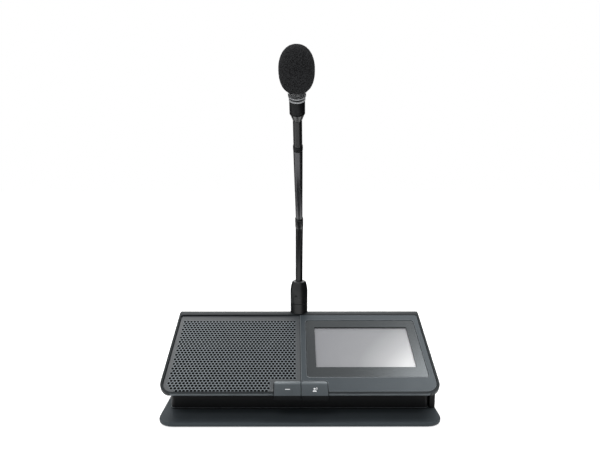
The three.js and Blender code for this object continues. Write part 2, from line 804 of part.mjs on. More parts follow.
// Side module under the right edge of the deck
const moduleLeft = bodyWidth / 2 + moduleInset;
const moduleFace = deckWidth / 2 - moduleFaceInset;
const moduleFrontY = bodyFrontY + moduleSetback;
const moduleBackY = moduleFrontY + moduleLength;
const jackY = moduleFrontY + jackPlace;
const volumeDownY = moduleFrontY + volumeDownPlace;
const volumeUpY = moduleFrontY + volumeUpPlace;
const volumePocket = volumeDepth - volumeProud + volumeTravel + gap;

function sideOutline(y, z, width, height, corner) {
  return roundedOutline(y - width / 2, z - height / 2, y + width / 2, z + height / 2, corner, corner);
}

function makeSideModule() {
  const profile = underCoverBlock(moduleLeft, moduleFace);
  const plan = plate(roundedOutline(
    moduleLeft - moduleCorner, moduleFrontY, moduleFace, moduleBackY, moduleCorner, moduleCorner
  ), bodyBottom, overrun);
  const pockets = [volumeDownY, volumeUpY].map(y => across(
    sideOutline(y, volumeZ, volumeWidth + 2 * gap, volumeHeight + 2 * gap, volumeCorner + gap),
    moduleFace - volumePocket, moduleFace + overrun
  ));
  const jackHole = post(0, 0, jackRadius + gap, -overrun, overrun, 16);
  jackHole.rotateY(halfTurn / 2).translate(moduleFace, jackY, jackZ);
  return cut(common(profile, plan), ...pockets, jackHole);
}
place(unit, 'side_module', makeSideModule(), blackPlastic);

function makeVolumeButton(y) {
  const right = moduleFace + volumeProud;
  return across(
    sideOutline(y, volumeZ, volumeWidth, volumeHeight, volumeCorner), right - volumeDepth, right
  );
}
place(unit, 'volume_down_button', makeVolumeButton(volumeDownY), panelPlastic);
place(unit, 'volume_up_button', makeVolumeButton(volumeUpY), panelPlastic);

function makeHeadphoneJack() {
  const length = moduleFace - moduleLeft;
  const barrel = turned([
    [0, 0],
    [jackRadius, 0],
    [jackRadius, length],
    [jackBore + jackChamfer, length],
    [jackBore, length - jackChamfer],
    [jackBore, jackFloor],
    [0, jackFloor],
  ], 16);
  return barrel.rotateY(halfTurn / 2).translate(moduleLeft, jackY, jackZ);
}
place(unit, 'headphone_jack', makeHeadphoneJack(), darkMetal);

// Gooseneck receptacle inside the cover, connector and sleeve above it
const sleeveBottom = crownTop - spotDepth + gap;
const sleeveTop = sleeveBottom + sleeveHeight;

function makeReceptacle() {
  const top = crownTop;
  const bottom = crownTop - coverThickness - receptacleHeight;
  const ring = cut(
    post(0, stemY, receptacleRadius, bottom, top, 20),
    post(0, stemY, connectorRadius + gap, bottom + coverThickness, top + overrun, 16)
  );
  return common(ring, underCoverBlock(-overrun, overrun));
}
place(unit, 'gooseneck_receptacle', makeReceptacle(), blackPlastic);

place(unit, 'gooseneck_connector', post(
  0, stemY, connectorRadius, sleeveBottom - connectorDrop, sleeveBottom + sleeveBore - gap, 16
), nickel);

function makeSleeve() {
  const taperStart = sleeveHeight - sleeveTaper;
  const narrowing = sleeveRadius - sleeveTopRadius;
  const taper = sleeveTaperShares.map(([up, into]) => [
    sleeveRadius - narrowing * into,
    taperStart + sleeveTaper * up,
  ]);
  return turned([
    [0, sleeveBore],
    [connectorRadius + gap, sleeveBore],
    [connectorRadius + gap, 0],
    [sleeveRadius, 0],
    [sleeveRadius, sleeveGrooveHeight - sleeveGroove],
    [sleeveRadius - sleeveGroove, sleeveGrooveHeight],
    [sleeveRadius, sleeveGrooveHeight + sleeveGroove],
    [sleeveRadius, taperStart],
    ...taper,
    [sleeveTopRadius, sleeveHeight],
    ...ballProfile(sleeveHeight),
  ], 20);
}

function makeLockHole() {
  const hole = post(0, 0, lockRadius + gap, sleeveRadius - lockSunk - lockLength - gap, overrun, 10);
  return turnToLock(hole);
}

// Turns a piece made along +Z so that it points out of the sleeve at the lock screw
function turnToLock(geometry) {
  return geometry.rotateX(halfTurn / 2).rotateZ(-rad(lockAngle)).translate(0, 0, lockHeight);
}
const sleeve = place(unit, 'connector_sleeve', cut(makeSleeve(), makeLockHole()), darkMetal);
sleeve.position.set(0, stemY, sleeveBottom);

function makeLockScrew() {
  const outer = sleeveRadius - lockSunk;
  const body = post(0, 0, lockRadius, outer - lockLength, outer, 10);
  return turnToLock(cut(body, post(0, 0, lockHex, outer - lockHexDepth, overrun, 6)));
}
const lockScrew = place(unit, 'lock_screw', makeLockScrew(), steel);
lockScrew.position.set(0, stemY, sleeveBottom);

// Lower end of a piece that sits on a hinge ball: a hollow round the ball and a rim
function cupProfile(outerRadius) {
  const cup = linkRadius + gap;
  const rimAngle = Math.asin(linkRim / cup);
  const hollow = arcPoints(cup, halfTurn / 2, rimAngle, 3);
  hollow[0] = [0, cup];
  return [...hollow, [outerRadius, linkRim]];
}

// Upper end that carries the next hinge ball
function ballProfile(height) {
  const ball = arcPoints(linkRadius, 0, halfTurn / 2, 3, height);
  ball[ball.length - 1] = [0, height + linkRadius];
  return ball;
}

function makeLink(pitch) {
  return turned([...cupProfile(linkRadius), ...ballProfile(pitch)], 12);
}

// A chain of links from a first ball to the rim of the piece that ends the section:
// each group turns on the ball of the one below and takes an equal share of the bend
function addFlexibleSection(parent, name, hinges, length, bend, height) {
  const pitch = (length - linkRim) / (hinges - 1);
  let carrier = parent;
  let rise = height;
  for (let i = 1; i <= hinges; i += 1) {
    const joint = new THREE.Group();
    joint.position.z = rise;
    joint.rotation.x = rad(bend) / hinges;
    carrier.add(joint);
    if (i < hinges) place(joint, `${name}_link_${i}`, makeLink(pitch), blackPlastic);
    carrier = joint;
    rise = pitch;
  }
  return carrier;
}

const neckBase = new THREE.Group();
neckBase.position.set(0, stemY, sleeveTop);
unit.add(neckBase);
const middle = addFlexibleSection(neckBase, 'lower', lowerHinges, lowerLength, lowerBend, 0);
middle.rotation.y = rad(sideLean);

// Collar, tube and ring between the flexible sections
place(middle, 'collar', turned([
  ...cupProfile(collarRadius - collarDraw),
  [collarRadius, linkRim + collarEnd],
  [collarRadius, collarLength - collarEnd],
  [collarRadius - collarDraw, collarLength],
  [0, collarLength],
], 18), darkMetal);

const tubeTop = collarLength + gap + tubeLength;
place(middle, 'stem_tube', turned([
  [tubeBore, collarLength + gap],
  [tubeLowRadius, collarLength + gap],
  [tubeHighRadius, tubeTop],
  [tubeBore, tubeTop],
  [tubeBore, collarLength + gap],
], 18), satinMetal);

const ringBottom = tubeTop + gap;
const ringTop = ringBottom + ringLength;
place(middle, 'stem_ring', turned([
  [0, ringBottom],
  [ringRadius - ringEdge, ringBottom],
  [ringRadius, ringBottom + ringEdge],
  [ringRadius, ringTop - ringEdge],
  [ringRadius - ringEdge / 2, ringTop],
  ...ballProfile(ringTop),
], 18), blackPlastic);

const head = addFlexibleSection(middle, 'upper', upperHinges, upperLength, upperBend, ringTop);

// Microphone head, stacked along its own axis
const coneTopZ = linkRim + coneHeight;
place(head, 'head_cone', turned([
  ...cupProfile(linkRadius),
  [headRadius, coneTopZ],
  [0, coneTopZ],
], 20), darkMetal);

const headBottom = coneTopZ + gap;
const headTop = headBottom + headLength;
place(head, 'head_housing', turned([
  [0, headBottom],
  [headRadius - headEdge, headBottom],
  [headRadius, headBottom + headEdge],
  [headRadius, headTop - headEdge],
  [headRadius - headEdge, headTop],
  [0, headTop],
], 20), blackPlastic);

function ringBand(low, height, lowRadius, highRadius) {
  return turned([
    [ringBore, low],
    [lowRadius, low],
    [highRadius, low + height],
    [ringBore, low + height],
    [ringBore, low],
  ], 20);
}

const lowRingBottom = headTop + gap;
const spacerBottom = lowRingBottom + lowRingHeight + gap;
const highRingBottom = spacerBottom + spacerHeight + gap;
const highRingTop = highRingBottom + highRingHeight;
place(head, 'light_ring_lower', ringBand(
  lowRingBottom, lowRingHeight, lowRingRadius, lowRingRadius
), ringClear);
place(head, 'light_ring_spacer', ringBand(
  spacerBottom, spacerHeight, spacerRadius, spacerRadius
), blackPlastic);
place(head, 'light_ring_upper', ringBand(
  highRingBottom, highRingHeight, highRingLowRadius, highRingRadius
), ringClear);

// Capsule: a stem through the rings and the microphone cartridge above them
const capsuleBottom = highRingTop + gap;
const capsuleTop = capsuleBottom + capsuleLength;
place(head, 'microphone_capsule', turned([
  [0, lowRingBottom],
  [capsuleStemRadius, lowRingBottom],
  [capsuleStemRadius, capsuleBottom],
  [capsuleRadius, capsuleBottom],
  [capsuleRadius, capsuleTop - capsuleEdge],
  [capsuleRadius - capsuleEdge, capsuleTop],
  [0, capsuleTop],
], 18), darkMetal);

// Foam windscreen, pulled over the capsule
function makeWindscreen() {
  const bottom = highRingTop + gap;
  const centre = bottom + foamDrop;
  const full = value => Math.sign(value) * Math.abs(value) ** (2 / foamFullness);
  const lowAngle = -Math.asin((foamDrop / foamHalfLength) ** (foamFullness / 2));
  const outer = arcPoints(1, lowAngle, halfTurn / 2, 9).map(([radius, height]) => [
    full(radius) * foamRadius,
    centre + full(height) * foamHalfLength,
  ]);
  outer[outer.length - 1][0] = 0;
  const bore = capsuleRadius + gap;
  return turned([[0, bottom + foamBore], [bore, bottom + foamBore], [bore, bottom], ...outer], 20);
}
place(head, 'foam_windscreen', makeWindscreen(), foamBlack);

// Bring the middle of the whole, with the microphone's reach, over the origin
const reach = new THREE.Box3().setFromObject(unit, true);
unit.position.y = -(reach.min.y + reach.max.y) / 2;

export default unit;
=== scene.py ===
import json
import math
import bmesh
import bpy
from mathutils import Matrix, Vector, noise


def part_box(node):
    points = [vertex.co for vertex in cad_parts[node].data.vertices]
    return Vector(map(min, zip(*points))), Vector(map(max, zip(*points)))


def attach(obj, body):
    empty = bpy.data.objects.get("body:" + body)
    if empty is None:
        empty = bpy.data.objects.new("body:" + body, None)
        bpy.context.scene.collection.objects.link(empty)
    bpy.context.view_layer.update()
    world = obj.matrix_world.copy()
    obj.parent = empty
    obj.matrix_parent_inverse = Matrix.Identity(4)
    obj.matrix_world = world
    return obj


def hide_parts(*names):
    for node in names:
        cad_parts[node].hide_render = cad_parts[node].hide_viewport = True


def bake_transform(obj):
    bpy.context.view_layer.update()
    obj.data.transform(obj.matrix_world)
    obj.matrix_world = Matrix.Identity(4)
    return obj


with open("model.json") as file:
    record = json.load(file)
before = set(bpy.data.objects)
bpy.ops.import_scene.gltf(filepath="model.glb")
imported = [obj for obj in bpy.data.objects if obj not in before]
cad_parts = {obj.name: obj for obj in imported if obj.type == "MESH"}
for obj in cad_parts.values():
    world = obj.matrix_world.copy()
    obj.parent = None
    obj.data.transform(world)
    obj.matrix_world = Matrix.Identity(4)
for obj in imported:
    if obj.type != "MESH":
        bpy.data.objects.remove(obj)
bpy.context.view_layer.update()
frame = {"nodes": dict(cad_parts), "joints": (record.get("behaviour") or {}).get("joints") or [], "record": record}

mm = 0.001
weld = 0.001 * mm  # points closer than this are one
nodes = frame["nodes"]
joints = {joint["name"]: joint for joint in frame["joints"]}


# wraps one output socket, so that sums and products of patterns read as Python
class Wire:
    def __init__(self, tree, socket):
        self.tree = tree
        self.socket = socket

    def calc(self, operation, first, second, clamp=False):
        settings = {"operation": operation, "use_clamp": clamp}
        return addNode(self.tree, "ShaderNodeMath", settings, {0: first, 1: second})

    def __add__(self, other): return self.calc("ADD", self, other)
    def __radd__(self, other): return self.calc("ADD", other, self)
    def __sub__(self, other): return self.calc("SUBTRACT", self, other)
    def __rsub__(self, other): return self.calc("SUBTRACT", other, self)
    def __mul__(self, other): return self.calc("MULTIPLY", self, other)
    def __rmul__(self, other): return self.calc("MULTIPLY", other, self)
    def __truediv__(self, other): return self.calc("DIVIDE", self, other)
    def above(self, other): return self.calc("GREATER_THAN", self, other)
    def below(self, other): return self.calc("LESS_THAN", self, other)
    def clamped(self): return self.calc("ADD", self, 0.0, clamp=True)


def addNode(tree, kind, settings=None, values=None, output=0):
    node = tree.nodes.new(kind)
    for key, value in (settings or {}).items():
        if key == "stops":  # colour ramp stops: place and colour
            while len(node.color_ramp.elements) < len(value):
                node.color_ramp.elements.new(0.5)
            for element, (place, colour) in zip(node.color_ramp.elements, value):
                element.position = place
                element.color = colour
        else:
            setattr(node, key, value)
    for key, value in (values or {}).items():
        socket = node.inputs[key]
        if isinstance(value, Wire):
            tree.links.new(value.socket, socket)
        else:
            socket.default_value = value
    return Wire(tree, node.outputs[output])


def shade(level):
    # a written screen colour, 0 to 255, as the linear value that renders as it
    value = level / 255
    return value / 12.92 if value <= 0.04045 else ((value + 0.055) / 1.055) ** 2.4


def grey(red, green, blue):
    return (shade(red), shade(green), shade(blue), 1)


def objectPlace(tree):
    return addNode(tree, "ShaderNodeTexCoord", output="Object")


def noiseOf(tree, where, size, detail=2.0, rough=0.5):
    # size is the width of one grain in millimetres
    values = {"Vector": where, "Scale": 1 / (size * mm), "Detail": detail, "Roughness": rough}
    return addNode(tree, "ShaderNodeTexNoise", {"noise_dimensions": "3D"}, values)


def mixed(tree, factor, first, second):
    values = {"Factor": factor, 6: first, 7: second}
    return addNode(tree, "ShaderNodeMix", {"data_type": "RGBA"}, values, output=2)


def placesIn(tree, matrix):
    # millimetres along the three axes of a frame, from Object coordinates
    inverse = matrix.inverted()
    values = {"Vector": objectPlace(tree), "Location": inverse.translation / mm,
              "Rotation": inverse.to_euler(), "Scale": (1 / mm,) * 3}
    turned = addNode(tree, "ShaderNodeMapping", {"vector_type": "POINT"}, values)
    parts = addNode(tree, "ShaderNodeSeparateXYZ", {}, {0: turned}).socket.node
    return [Wire(tree, socket) for socket in parts.outputs]


def surface(name, colour, roughness, metallic=0.0, specular=0.5, coat=0.0, coatRoughness=0.1,
            grain=0.5, depth=0.012, tone=0.12, drift=12.0, roughDrift=0.06, tint=None):
    # base recipe: a tone that drifts over about a centimetre, a fine moulded grain and a worn roughness
    material = bpy.data.materials.new(name)
    material.use_nodes = True
    tree = material.node_tree
    shader = tree.nodes["Principled BSDF"]
    where = objectPlace(tree)
    wide = noiseOf(tree, where, drift, 3.0)
    fine = noiseOf(tree, where, grain, 2.0)
    dark = tuple(c * (1 - tone) for c in colour[:3]) + (1,)
    light = tuple(min(1, c * (1 + tone)) for c in colour[:3]) + (1,)
    blend = (wide * 0.75 + fine * 0.25).clamped()
    tree.links.new(mixed(tree, blend, dark, light).socket, shader.inputs["Base Color"])
    rough = (wide - 0.5) * (roughDrift * 2) + (fine - 0.5) * roughDrift + roughness
    tree.links.new(rough.socket, shader.inputs["Roughness"])
    bump = addNode(tree, "ShaderNodeBump", {}, {"Strength": 1.0, "Distance": depth * mm, "Height": fine})
    tree.links.new(bump.socket, shader.inputs["Normal"])
    shader.inputs["Metallic"].default_value = metallic
    shader.inputs["Specular IOR Level"].default_value = specular
    shader.inputs["Coat Weight"].default_value = coat
    shader.inputs["Coat Roughness"].default_value = coatRoughness
    if tint:  # the tone of the gloss
        shader.inputs["Specular Tint"].default_value = tint + (1,)
    return material


coolGloss = (0.86, 0.95, 1.0)
finishes = {
    "cover_plastic": surface("coverPlastic", grey(27, 30, 32), 0.42, specular=0.15, grain=0.35, depth=0.008,
                             tint=coolGloss),
    "panel_plastic": surface("panelPlastic", grey(44, 51, 56), 0.4, grain=0.22, depth=0.004, tint=coolGloss),
    "button_plastic": surface("buttonPlastic", grey(46, 52, 56), 0.34, grain=0.22, depth=0.004,
                              tint=coolGloss),
    "black_plastic": surface("blackPlastic", grey(17, 18, 20), 0.45, specular=0.16, grain=0.4, depth=0.012),
    "base_paint": surface("basePaint", grey(60, 66, 70), 0.6, specular=0.3, grain=0.45, depth=0.02,
                          tint=coolGloss),
    "foot_rubber": surface("footRubber", grey(24, 24, 24), 0.85, specular=0.25, grain=0.6, depth=0.02),
    "screw_steel": surface("screwSteel", grey(150, 150, 152), 0.28, metallic=1, grain=0.15, depth=0.002),
    "tray_steel": surface("traySteel", grey(168, 169, 172), 0.35, metallic=1, grain=0.5, depth=0.003),
    "magnet_steel": surface("magnetSteel", grey(96, 96, 99), 0.5, metallic=1, grain=0.3, depth=0.006),
    "basket_paint": surface("basketPaint", grey(30, 30, 31), 0.4, grain=0.5, depth=0.01),
    "board_resin": surface("boardResin", grey(24, 72, 44), 0.3, grain=1.5, depth=0.006, coat=0.4),
    "cone_paper": surface("conePaper", grey(30, 30, 31), 0.95, specular=0.2, grain=0.7, depth=0.05),
    "socket_shell": surface("socketShell", grey(172, 172, 168), 0.3, metallic=1, grain=0.3, depth=0.003),
    "connector_metal": surface("connectorMetal", grey(168, 168, 164), 0.24, metallic=1, grain=0.2,
                               depth=0.002),
    "sleeve_metal": surface("sleeveMetal", grey(24, 25, 26), 0.3, specular=0.35, grain=0.15, depth=0.0015),
    "link_coat": surface("linkCoat", grey(22, 22, 23), 0.34, specular=0.4, grain=0.2, depth=0.004),
    "tube_metal": surface("tubeMetal", grey(76, 76, 78), 0.3, metallic=0.85, grain=0.12, depth=0.001),
}
print("finishes made")

deckPlan = {"frontSetback": 10.8 * mm, "height": 29.1 * mm}
pressAxis = Vector(joints["speak_press"]["axis"])
deckTilt = math.atan2(pressAxis.y, -pressAxis.z)
baseLow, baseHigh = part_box("base_plate")
deckOrigin = Vector((0, baseLow.y + deckPlan["frontSetback"], deckPlan["height"]))
deckMatrix = Matrix.Translation(deckOrigin) @ Matrix.Rotation(deckTilt, 4, "X")
toDeck = deckMatrix.inverted()


def hingePlace(name):
    joint = joints[name]
    return Vector(joint.get("pos_m") or joint.get("pos"))


def jointMatrix(bendName, swayName):
    across = Vector(joints[bendName]["axis"]).normalized()
    back = Vector(joints[swayName]["axis"]).normalized()
    back = (back - across * back.dot(across)).normalized()
    out = across.cross(back)
    turn = Matrix((across, back, out)).transposed().to_4x4()
    return Matrix.Translation(hingePlace(swayName)) @ turn


stemMatrix = jointMatrix("upper_bend_1", "lower_sway_4")
headMatrix = jointMatrix("upper_bend_1", "upper_sway_2")
sleeveLow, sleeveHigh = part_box("connector_sleeve")
stemAxis = (sleeveLow + sleeveHigh) / 2
sleeveMatrix = Matrix.Translation((0, stemAxis.y, sleeveLow.z))


def deckReach(node):
    # lowest and highest corner of a node in the deck's own frame, in millimetres
    points = [toDeck @ vert.co / mm for vert in nodes[node].data.vertices]
    return [Vector([pick(p[i] for p in points) for i in range(3)]) for pick in (min, max)]


def softenEdges(mesh, width, segments=2, angle=28):
    sharp = [edge for edge in mesh.edges
             if edge.is_manifold and edge.calc_face_angle(0) > math.radians(angle)]
    if sharp:
        bmesh.ops.bevel(mesh, geom=sharp, offset=width * mm, offset_type="OFFSET", segments=segments,
                        profile=0.5, affect="EDGES", clamp_overlap=True, material=-1)


def finishPiece(name, mesh, body, slotName, material=None, matrix=None, smooth=30, recalc=True):
    bmesh.ops.remove_doubles(mesh, verts=mesh.verts, dist=weld)
    if recalc:
        bmesh.ops.recalc_face_normals(mesh, faces=mesh.faces)
    if matrix is not None:
        bmesh.ops.transform(mesh, matrix=matrix, verts=mesh.verts)
    data = bpy.data.meshes.new(name)
    mesh.to_mesh(data)
    mesh.free()
    data.shade_smooth()
    data.set_sharp_from_angle(angle=math.radians(smooth))
    piece = bpy.data.objects.new(name, data)
    bpy.context.scene.collection.objects.link(piece)
    piece.data.materials.append(material or finishes[slotName])
    if body:
        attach(piece, body)
    return piece


def flattenFaces(piece):
    # broad faces shade flat up to their soft edges
    evened = piece.modifiers.new("flatFaces", "WEIGHTED_NORMAL")
    evened.keep_sharp = True


def shellFrom(node, name, body, slotName, width=0.3, segments=2, rounder=None):
    # the CAD's own shape with its corners broken, as a moulded or machined piece has them
    mesh = bmesh.new()
    mesh.from_mesh(nodes[node].data)
    bmesh.ops.remove_doubles(mesh, verts=mesh.verts, dist=0.002 * mm)
    bmesh.ops.dissolve_limit(mesh, angle_limit=math.radians(0.6), verts=mesh.verts, edges=mesh.edges)
    if rounder:
        rounder(mesh)
    softenEdges(mesh, width, segments)
    piece = finishPiece(name, mesh, body, slotName, recalc=False)
    flattenFaces(piece)
    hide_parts(node)
    return piece


def turnedPiece(name, profile, body, slotName, matrix, replaced=(), steps=64, width=0, material=None,
                shape=None):
    # profile is a list of radius and height in millimetres, spun about the vertical
    mesh = bmesh.new()
    points = [mesh.verts.new((radius * mm, 0, height * mm)) for radius, height in profile]
    lines = [mesh.edges.new(pair) for pair in zip(points, points[1:])]
    bmesh.ops.spin(mesh, geom=points + lines, cent=(0, 0, 0), axis=(0, 0, 1), dvec=(0, 0, 0),
                   angle=2 * math.pi, steps=steps, use_merge=True)
    bmesh.ops.remove_doubles(mesh, verts=mesh.verts, dist=weld)
    bmesh.ops.recalc_face_normals(mesh, faces=mesh.faces)
    if width:
        softenEdges(mesh, width, 2)
    if shape:
        shape(mesh)
    piece = finishPiece(name, mesh, body, slotName, material, matrix)
    if replaced:
        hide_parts(*replaced)
    return piece


def outlineFace(mesh, corners, segments=8):
    # corners are (x, y, radius) in millimetres; each is rounded by a vertex bevel
    verts = [mesh.verts.new((x * mm, y * mm, 0)) for x, y, radius in corners]
    mesh.faces.new(verts)
    for vert, (x, y, radius) in zip(verts, corners):
        if radius:
            bmesh.ops.bevel(mesh, geom=[vert], offset=radius * mm, offset_type="OFFSET", segments=segments,
                            profile=0.5, affect="VERTICES", clamp_overlap=False, material=-1)


def addFinish(piece, material):
    piece.data.materials.append(material)
    return len(piece.data.materials) - 1


def secondFinish(piece, material, chosen):
    # chosen gets a face's place in millimetres and its aim, both in the deck's frame
    index = addFinish(piece, material)
    for face in piece.data.polygons:
        if chosen(toDeck @ face.center / mm, toDeck.to_3x3() @ face.normal):
            face.material_index = index


coverLow, coverHigh = deckReach("top_cover")
cover = {"outerRound": 1.2, "innerRound": 0.8, "corner": 14.0, "crownRadius": 13.0, "deckLength": 104.054,
         "outerEdge": (-0.1, 0.8), "innerEdge": (1.9, 2.7), "seam": 1.4, "lip": 2.6, "lipBand": 0.4}


def roundRim(mesh):
    # the rim is a low bead: its outer edge and the crown's ends are rounded, its inner edge falls to the seam
    corner = cover["corner"]

    def inset(vert):
        # how far a point lies in from the rim's outer edge, or None off the deck's top and the crown
        across, up, out = toDeck @ vert.co / mm
        if up > cover["deckLength"]:
            fromCentre = math.hypot(up - cover["deckLength"], out + cover["crownRadius"])
            return coverHigh.x - abs(across) if abs(fromCentre - cover["crownRadius"]) < 0.06 else None
        if abs(out) > 0.05:
            return None
        beyondSide = max(0, abs(across) - coverHigh.x + corner)
        beyondFront = max(0, coverLow.y + corner - up)
        return corner - math.hypot(beyondSide, beyondFront)

    rounds = ((cover["outerEdge"], cover["outerRound"]), (cover["innerEdge"], cover["innerRound"]))
    for (low, high), width in rounds:
        found = []
        for edge in mesh.edges:
            insets = [inset(vert) for vert in edge.verts]
            if None not in insets and all(low < v < high for v in insets) and edge.calc_face_angle(0) > 0.5:
                found.append(edge)
        bmesh.ops.bevel(mesh, geom=found, offset=width * mm, offset_type="OFFSET", segments=4,
                        profile=0.5, affect="EDGES", clamp_overlap=True, material=-1)


def sloping(aim):
    # a face of a rounded edge, in the deck's frame: neither a wall nor the flat top
    return 0.15 < aim.z < 0.97


# a lighter copy of the panel plastic: a painted highlight on the cover's front lip and on the top of the housing's
# foot
lipPaintedHighlight = surface("lipPaintedHighlight", grey(110, 116, 120), 0.4, grain=0.22, depth=0.004, tint=coolGloss)
# a lighter copy of the panel plastic for rounded edges: a painted highlight
edgePaintedHighlight = surface("edgePaintedHighlight", grey(120, 125, 129), 0.35, grain=0.22, depth=0.002, tint=coolGloss)
topCover = shellFrom("top_cover", "topCover", "console", "cover_plastic", 0.4, rounder=roundRim)
# near-black on the rim's inner rounding: painted shade in the groove beside the panel
groovePaintedShade = surface("groovePaintedShade", grey(9, 10, 11), 0.6, specular=0.1, grain=0.2, depth=0.002)
secondFinish(topCover, groovePaintedShade, lambda place, aim: sloping(aim) and -1 < place.z
             and abs(place.x) < coverHigh.x - cover["seam"]
             and coverLow.y + cover["seam"] < place.y < cover["deckLength"] - 1)
# the front faces of the cover's lip are painted lighter: a painted highlight
secondFinish(topCover, lipPaintedHighlight, lambda place, aim: aim.y < -0.8 and place.z > -cover["lip"]
             and place.y < coverLow.y + cover["lipBand"])
facePanel = shellFrom("face_panel", "facePanel", "console", "panel_plastic", 0.45, 3)
# the panel's rounded edges are painted lighter: a painted highlight
secondFinish(facePanel, edgePaintedHighlight, lambda place, aim: sloping(aim) and place.z > -0.6)
lowerHousing = shellFrom("lower_housing", "lowerHousing", "console", "black_plastic", 0.3, 3)
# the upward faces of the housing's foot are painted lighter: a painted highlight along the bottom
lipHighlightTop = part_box("lower_housing")[0].z + 1.0 * mm
secondFinish(lowerHousing, lipPaintedHighlight, lambda place, aim: (deckMatrix @ (place * mm)).z < lipHighlightTop
             and (deckMatrix.to_3x3() @ aim).z > 0.3)
shellFrom("side_module", "sideModule", "console", "black_plastic", 0.4, 3)
shellFrom("base_plate", "basePlate", "console", "base_paint", 0.2, 3)


talk = {"inset": 0.12, "backInset": 0.5, "ridge": 6.9, "rampDrop": 1.3, "nose": 0.9, "outerCorner": 2.0,
        "corner": 0.3, "edge": 0.3, "topBand": 0.1, "noseShadeDepth": 0.3}
# a lighter copy of the button plastic for the ramp: a painted highlight
rampPaintedHighlight = surface("rampPaintedHighlight", grey(74, 81, 85), 0.34, grain=0.22, depth=0.003, tint=coolGloss)
# near-black for the key's front face: painted shade
nosePaintedShade = surface("nosePaintedShade", grey(12, 14, 16), 0.5, specular=0.12, grain=0.22, depth=0.004)


def talkButton(node, name, cornerLeft, cornerRight):
    # a key with a ramp along its back, painted lighter as a painted highlight, and a rounded nose, painted black
    # down the front as painted shade
    low, high = deckReach(node)
    left, right = low.x + talk["inset"], high.x - talk["inset"]
    front, back = low.y, high.y - talk["backInset"]
    mesh = bmesh.new()
    outlineFace(mesh, [(left, front, talk["corner"]), (right, front, talk["corner"]),
                       (right, back, cornerRight), (left, back, cornerLeft)])
    bmesh.ops.solidify(mesh, geom=mesh.faces[:], thickness=(high.z - low.z) * mm)
    bmesh.ops.recalc_face_normals(mesh, faces=mesh.faces)
    top = max(vert.co.z for vert in mesh.verts)
    bmesh.ops.translate(mesh, vec=(0, 0, high.z * mm - top), verts=mesh.verts)
    bmesh.ops.bisect_plane(mesh, geom=mesh.verts[:] + mesh.edges[:] + mesh.faces[:], dist=weld,
                           plane_co=(0, talk["ridge"] * mm, 0), plane_no=(0, 1, 0))
    topBand = (high.z - talk["topBand"]) * mm
    for vert in mesh.verts:
        beyond = vert.co.y / mm - talk["ridge"]
        if vert.co.z > topBand and beyond > 0:
            vert.co.z -= talk["rampDrop"] * mm * beyond / (back - talk["ridge"])
    nose = [edge for edge in mesh.edges
            if all(v.co.y < (front + 0.01) * mm and v.co.z > topBand for v in edge.verts)]
    bmesh.ops.bevel(mesh, geom=nose, offset=talk["nose"] * mm, offset_type="OFFSET", segments=4,
                    profile=0.5, affect="EDGES", clamp_overlap=True, material=-1)
    softenEdges(mesh, talk["edge"], 2, 40)
    piece = finishPiece(name, mesh, node, "button_plastic", matrix=deckMatrix)
    flattenFaces(piece)
    # the front face below the top is painted black: painted shade
    secondFinish(piece, nosePaintedShade, lambda place, aim: aim.y < -0.75 and place.z < high.z - talk["noseShadeDepth"])
    # the ramp faces are painted lighter: a painted highlight
    secondFinish(piece, rampPaintedHighlight, lambda place, aim: aim.y > 0.15 and aim.z > 0.6)
    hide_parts(node)


talkButton("mute_button", "muteButton", talk["outerCorner"], talk["corner"])
talkButton("speak_button", "speakButton", talk["corner"], talk["outerCorner"])
shellFrom("volume_down_button", "volumeDownButton", "volume_down_button", "button_plastic", 0.25, 3)
shellFrom("volume_up_button", "volumeUpButton", "volume_up_button", "button_plastic", 0.25, 3)
print("console shells made")

sheetLow, sheetHigh = deckReach("grille_plate")
notchLow, notchHigh = deckReach("mute_button")
sheetCorner = 11.3
# hole is a radius, wider than the real one of about 1.26, so that the field keeps its contrast
grille = {
    "pitch": 3.42, "rowPitch": 2.962, "hole": 1.42, "holeSide": 0.8, "thickness": 1.3, "edge": 0.4,
    "left": -121.2, "right": -4.4, "back": 93.6, "rows": 32, "besideButtons": -28.4, "rowsBeside": 5,
    "cornerX": -114.9, "cornerV": 11.3, "cornerReach": 7.3,
    "corner": sheetCorner, "rimBand": 0.5, "frontBand": 0.45, "notchSide": 1.3, "notchBack": 0.9,
    "outline": [(sheetLow.x, 0, sheetCorner), (notchLow.x - 0.7, 0, 0),
                (notchLow.x - 0.7, notchHigh.y + 0.5, 2.4), (sheetHigh.x, notchHigh.y + 0.5, 0),
                (sheetHigh.x, sheetHigh.y, 0), (sheetLow.x, sheetHigh.y, 2.2)],
}


def holeCell():
    # one six-sided cell of sheet round one hole, welded to its neighbours later
    cell = bmesh.new()
    bmesh.ops.create_circle(cell, cap_ends=False, segments=12, radius=grille["hole"] * mm)
    grown = bmesh.ops.extrude_edge_only(cell, edges=cell.edges[:])
    side = grille["pitch"] / 2
    for vert in [item for item in grown["geom"] if isinstance(item, bmesh.types.BMVert)]:
        turn = math.atan2(vert.co.y, vert.co.x)
        corner = abs(math.sin(3 * turn)) > 0.5
        reach = side / math.cos(math.radians(30)) if corner else side
        vert.co = Vector((math.cos(turn), math.sin(turn), 0)) * reach * mm
    data = bpy.data.meshes.new("holeCell")
    cell.to_mesh(data)
    cell.free()
    return data


def grillePlaces():
    for row in range(grille["rows"]):
        v = grille["back"] - row * grille["rowPitch"]
        u = grille["left"] + (row % 2) * grille["pitch"] / 2
        end = grille["besideButtons"] if row >= grille["rows"] - grille["rowsBeside"] else grille["right"]
        while u <= end:
            away = Vector((u - grille["cornerX"], v - grille["cornerV"]))
            inCorner = away.x < 0 and away.y < 0 and away.length > grille["cornerReach"]
            if not inCorner:
                yield u, v
            u += grille["pitch"]


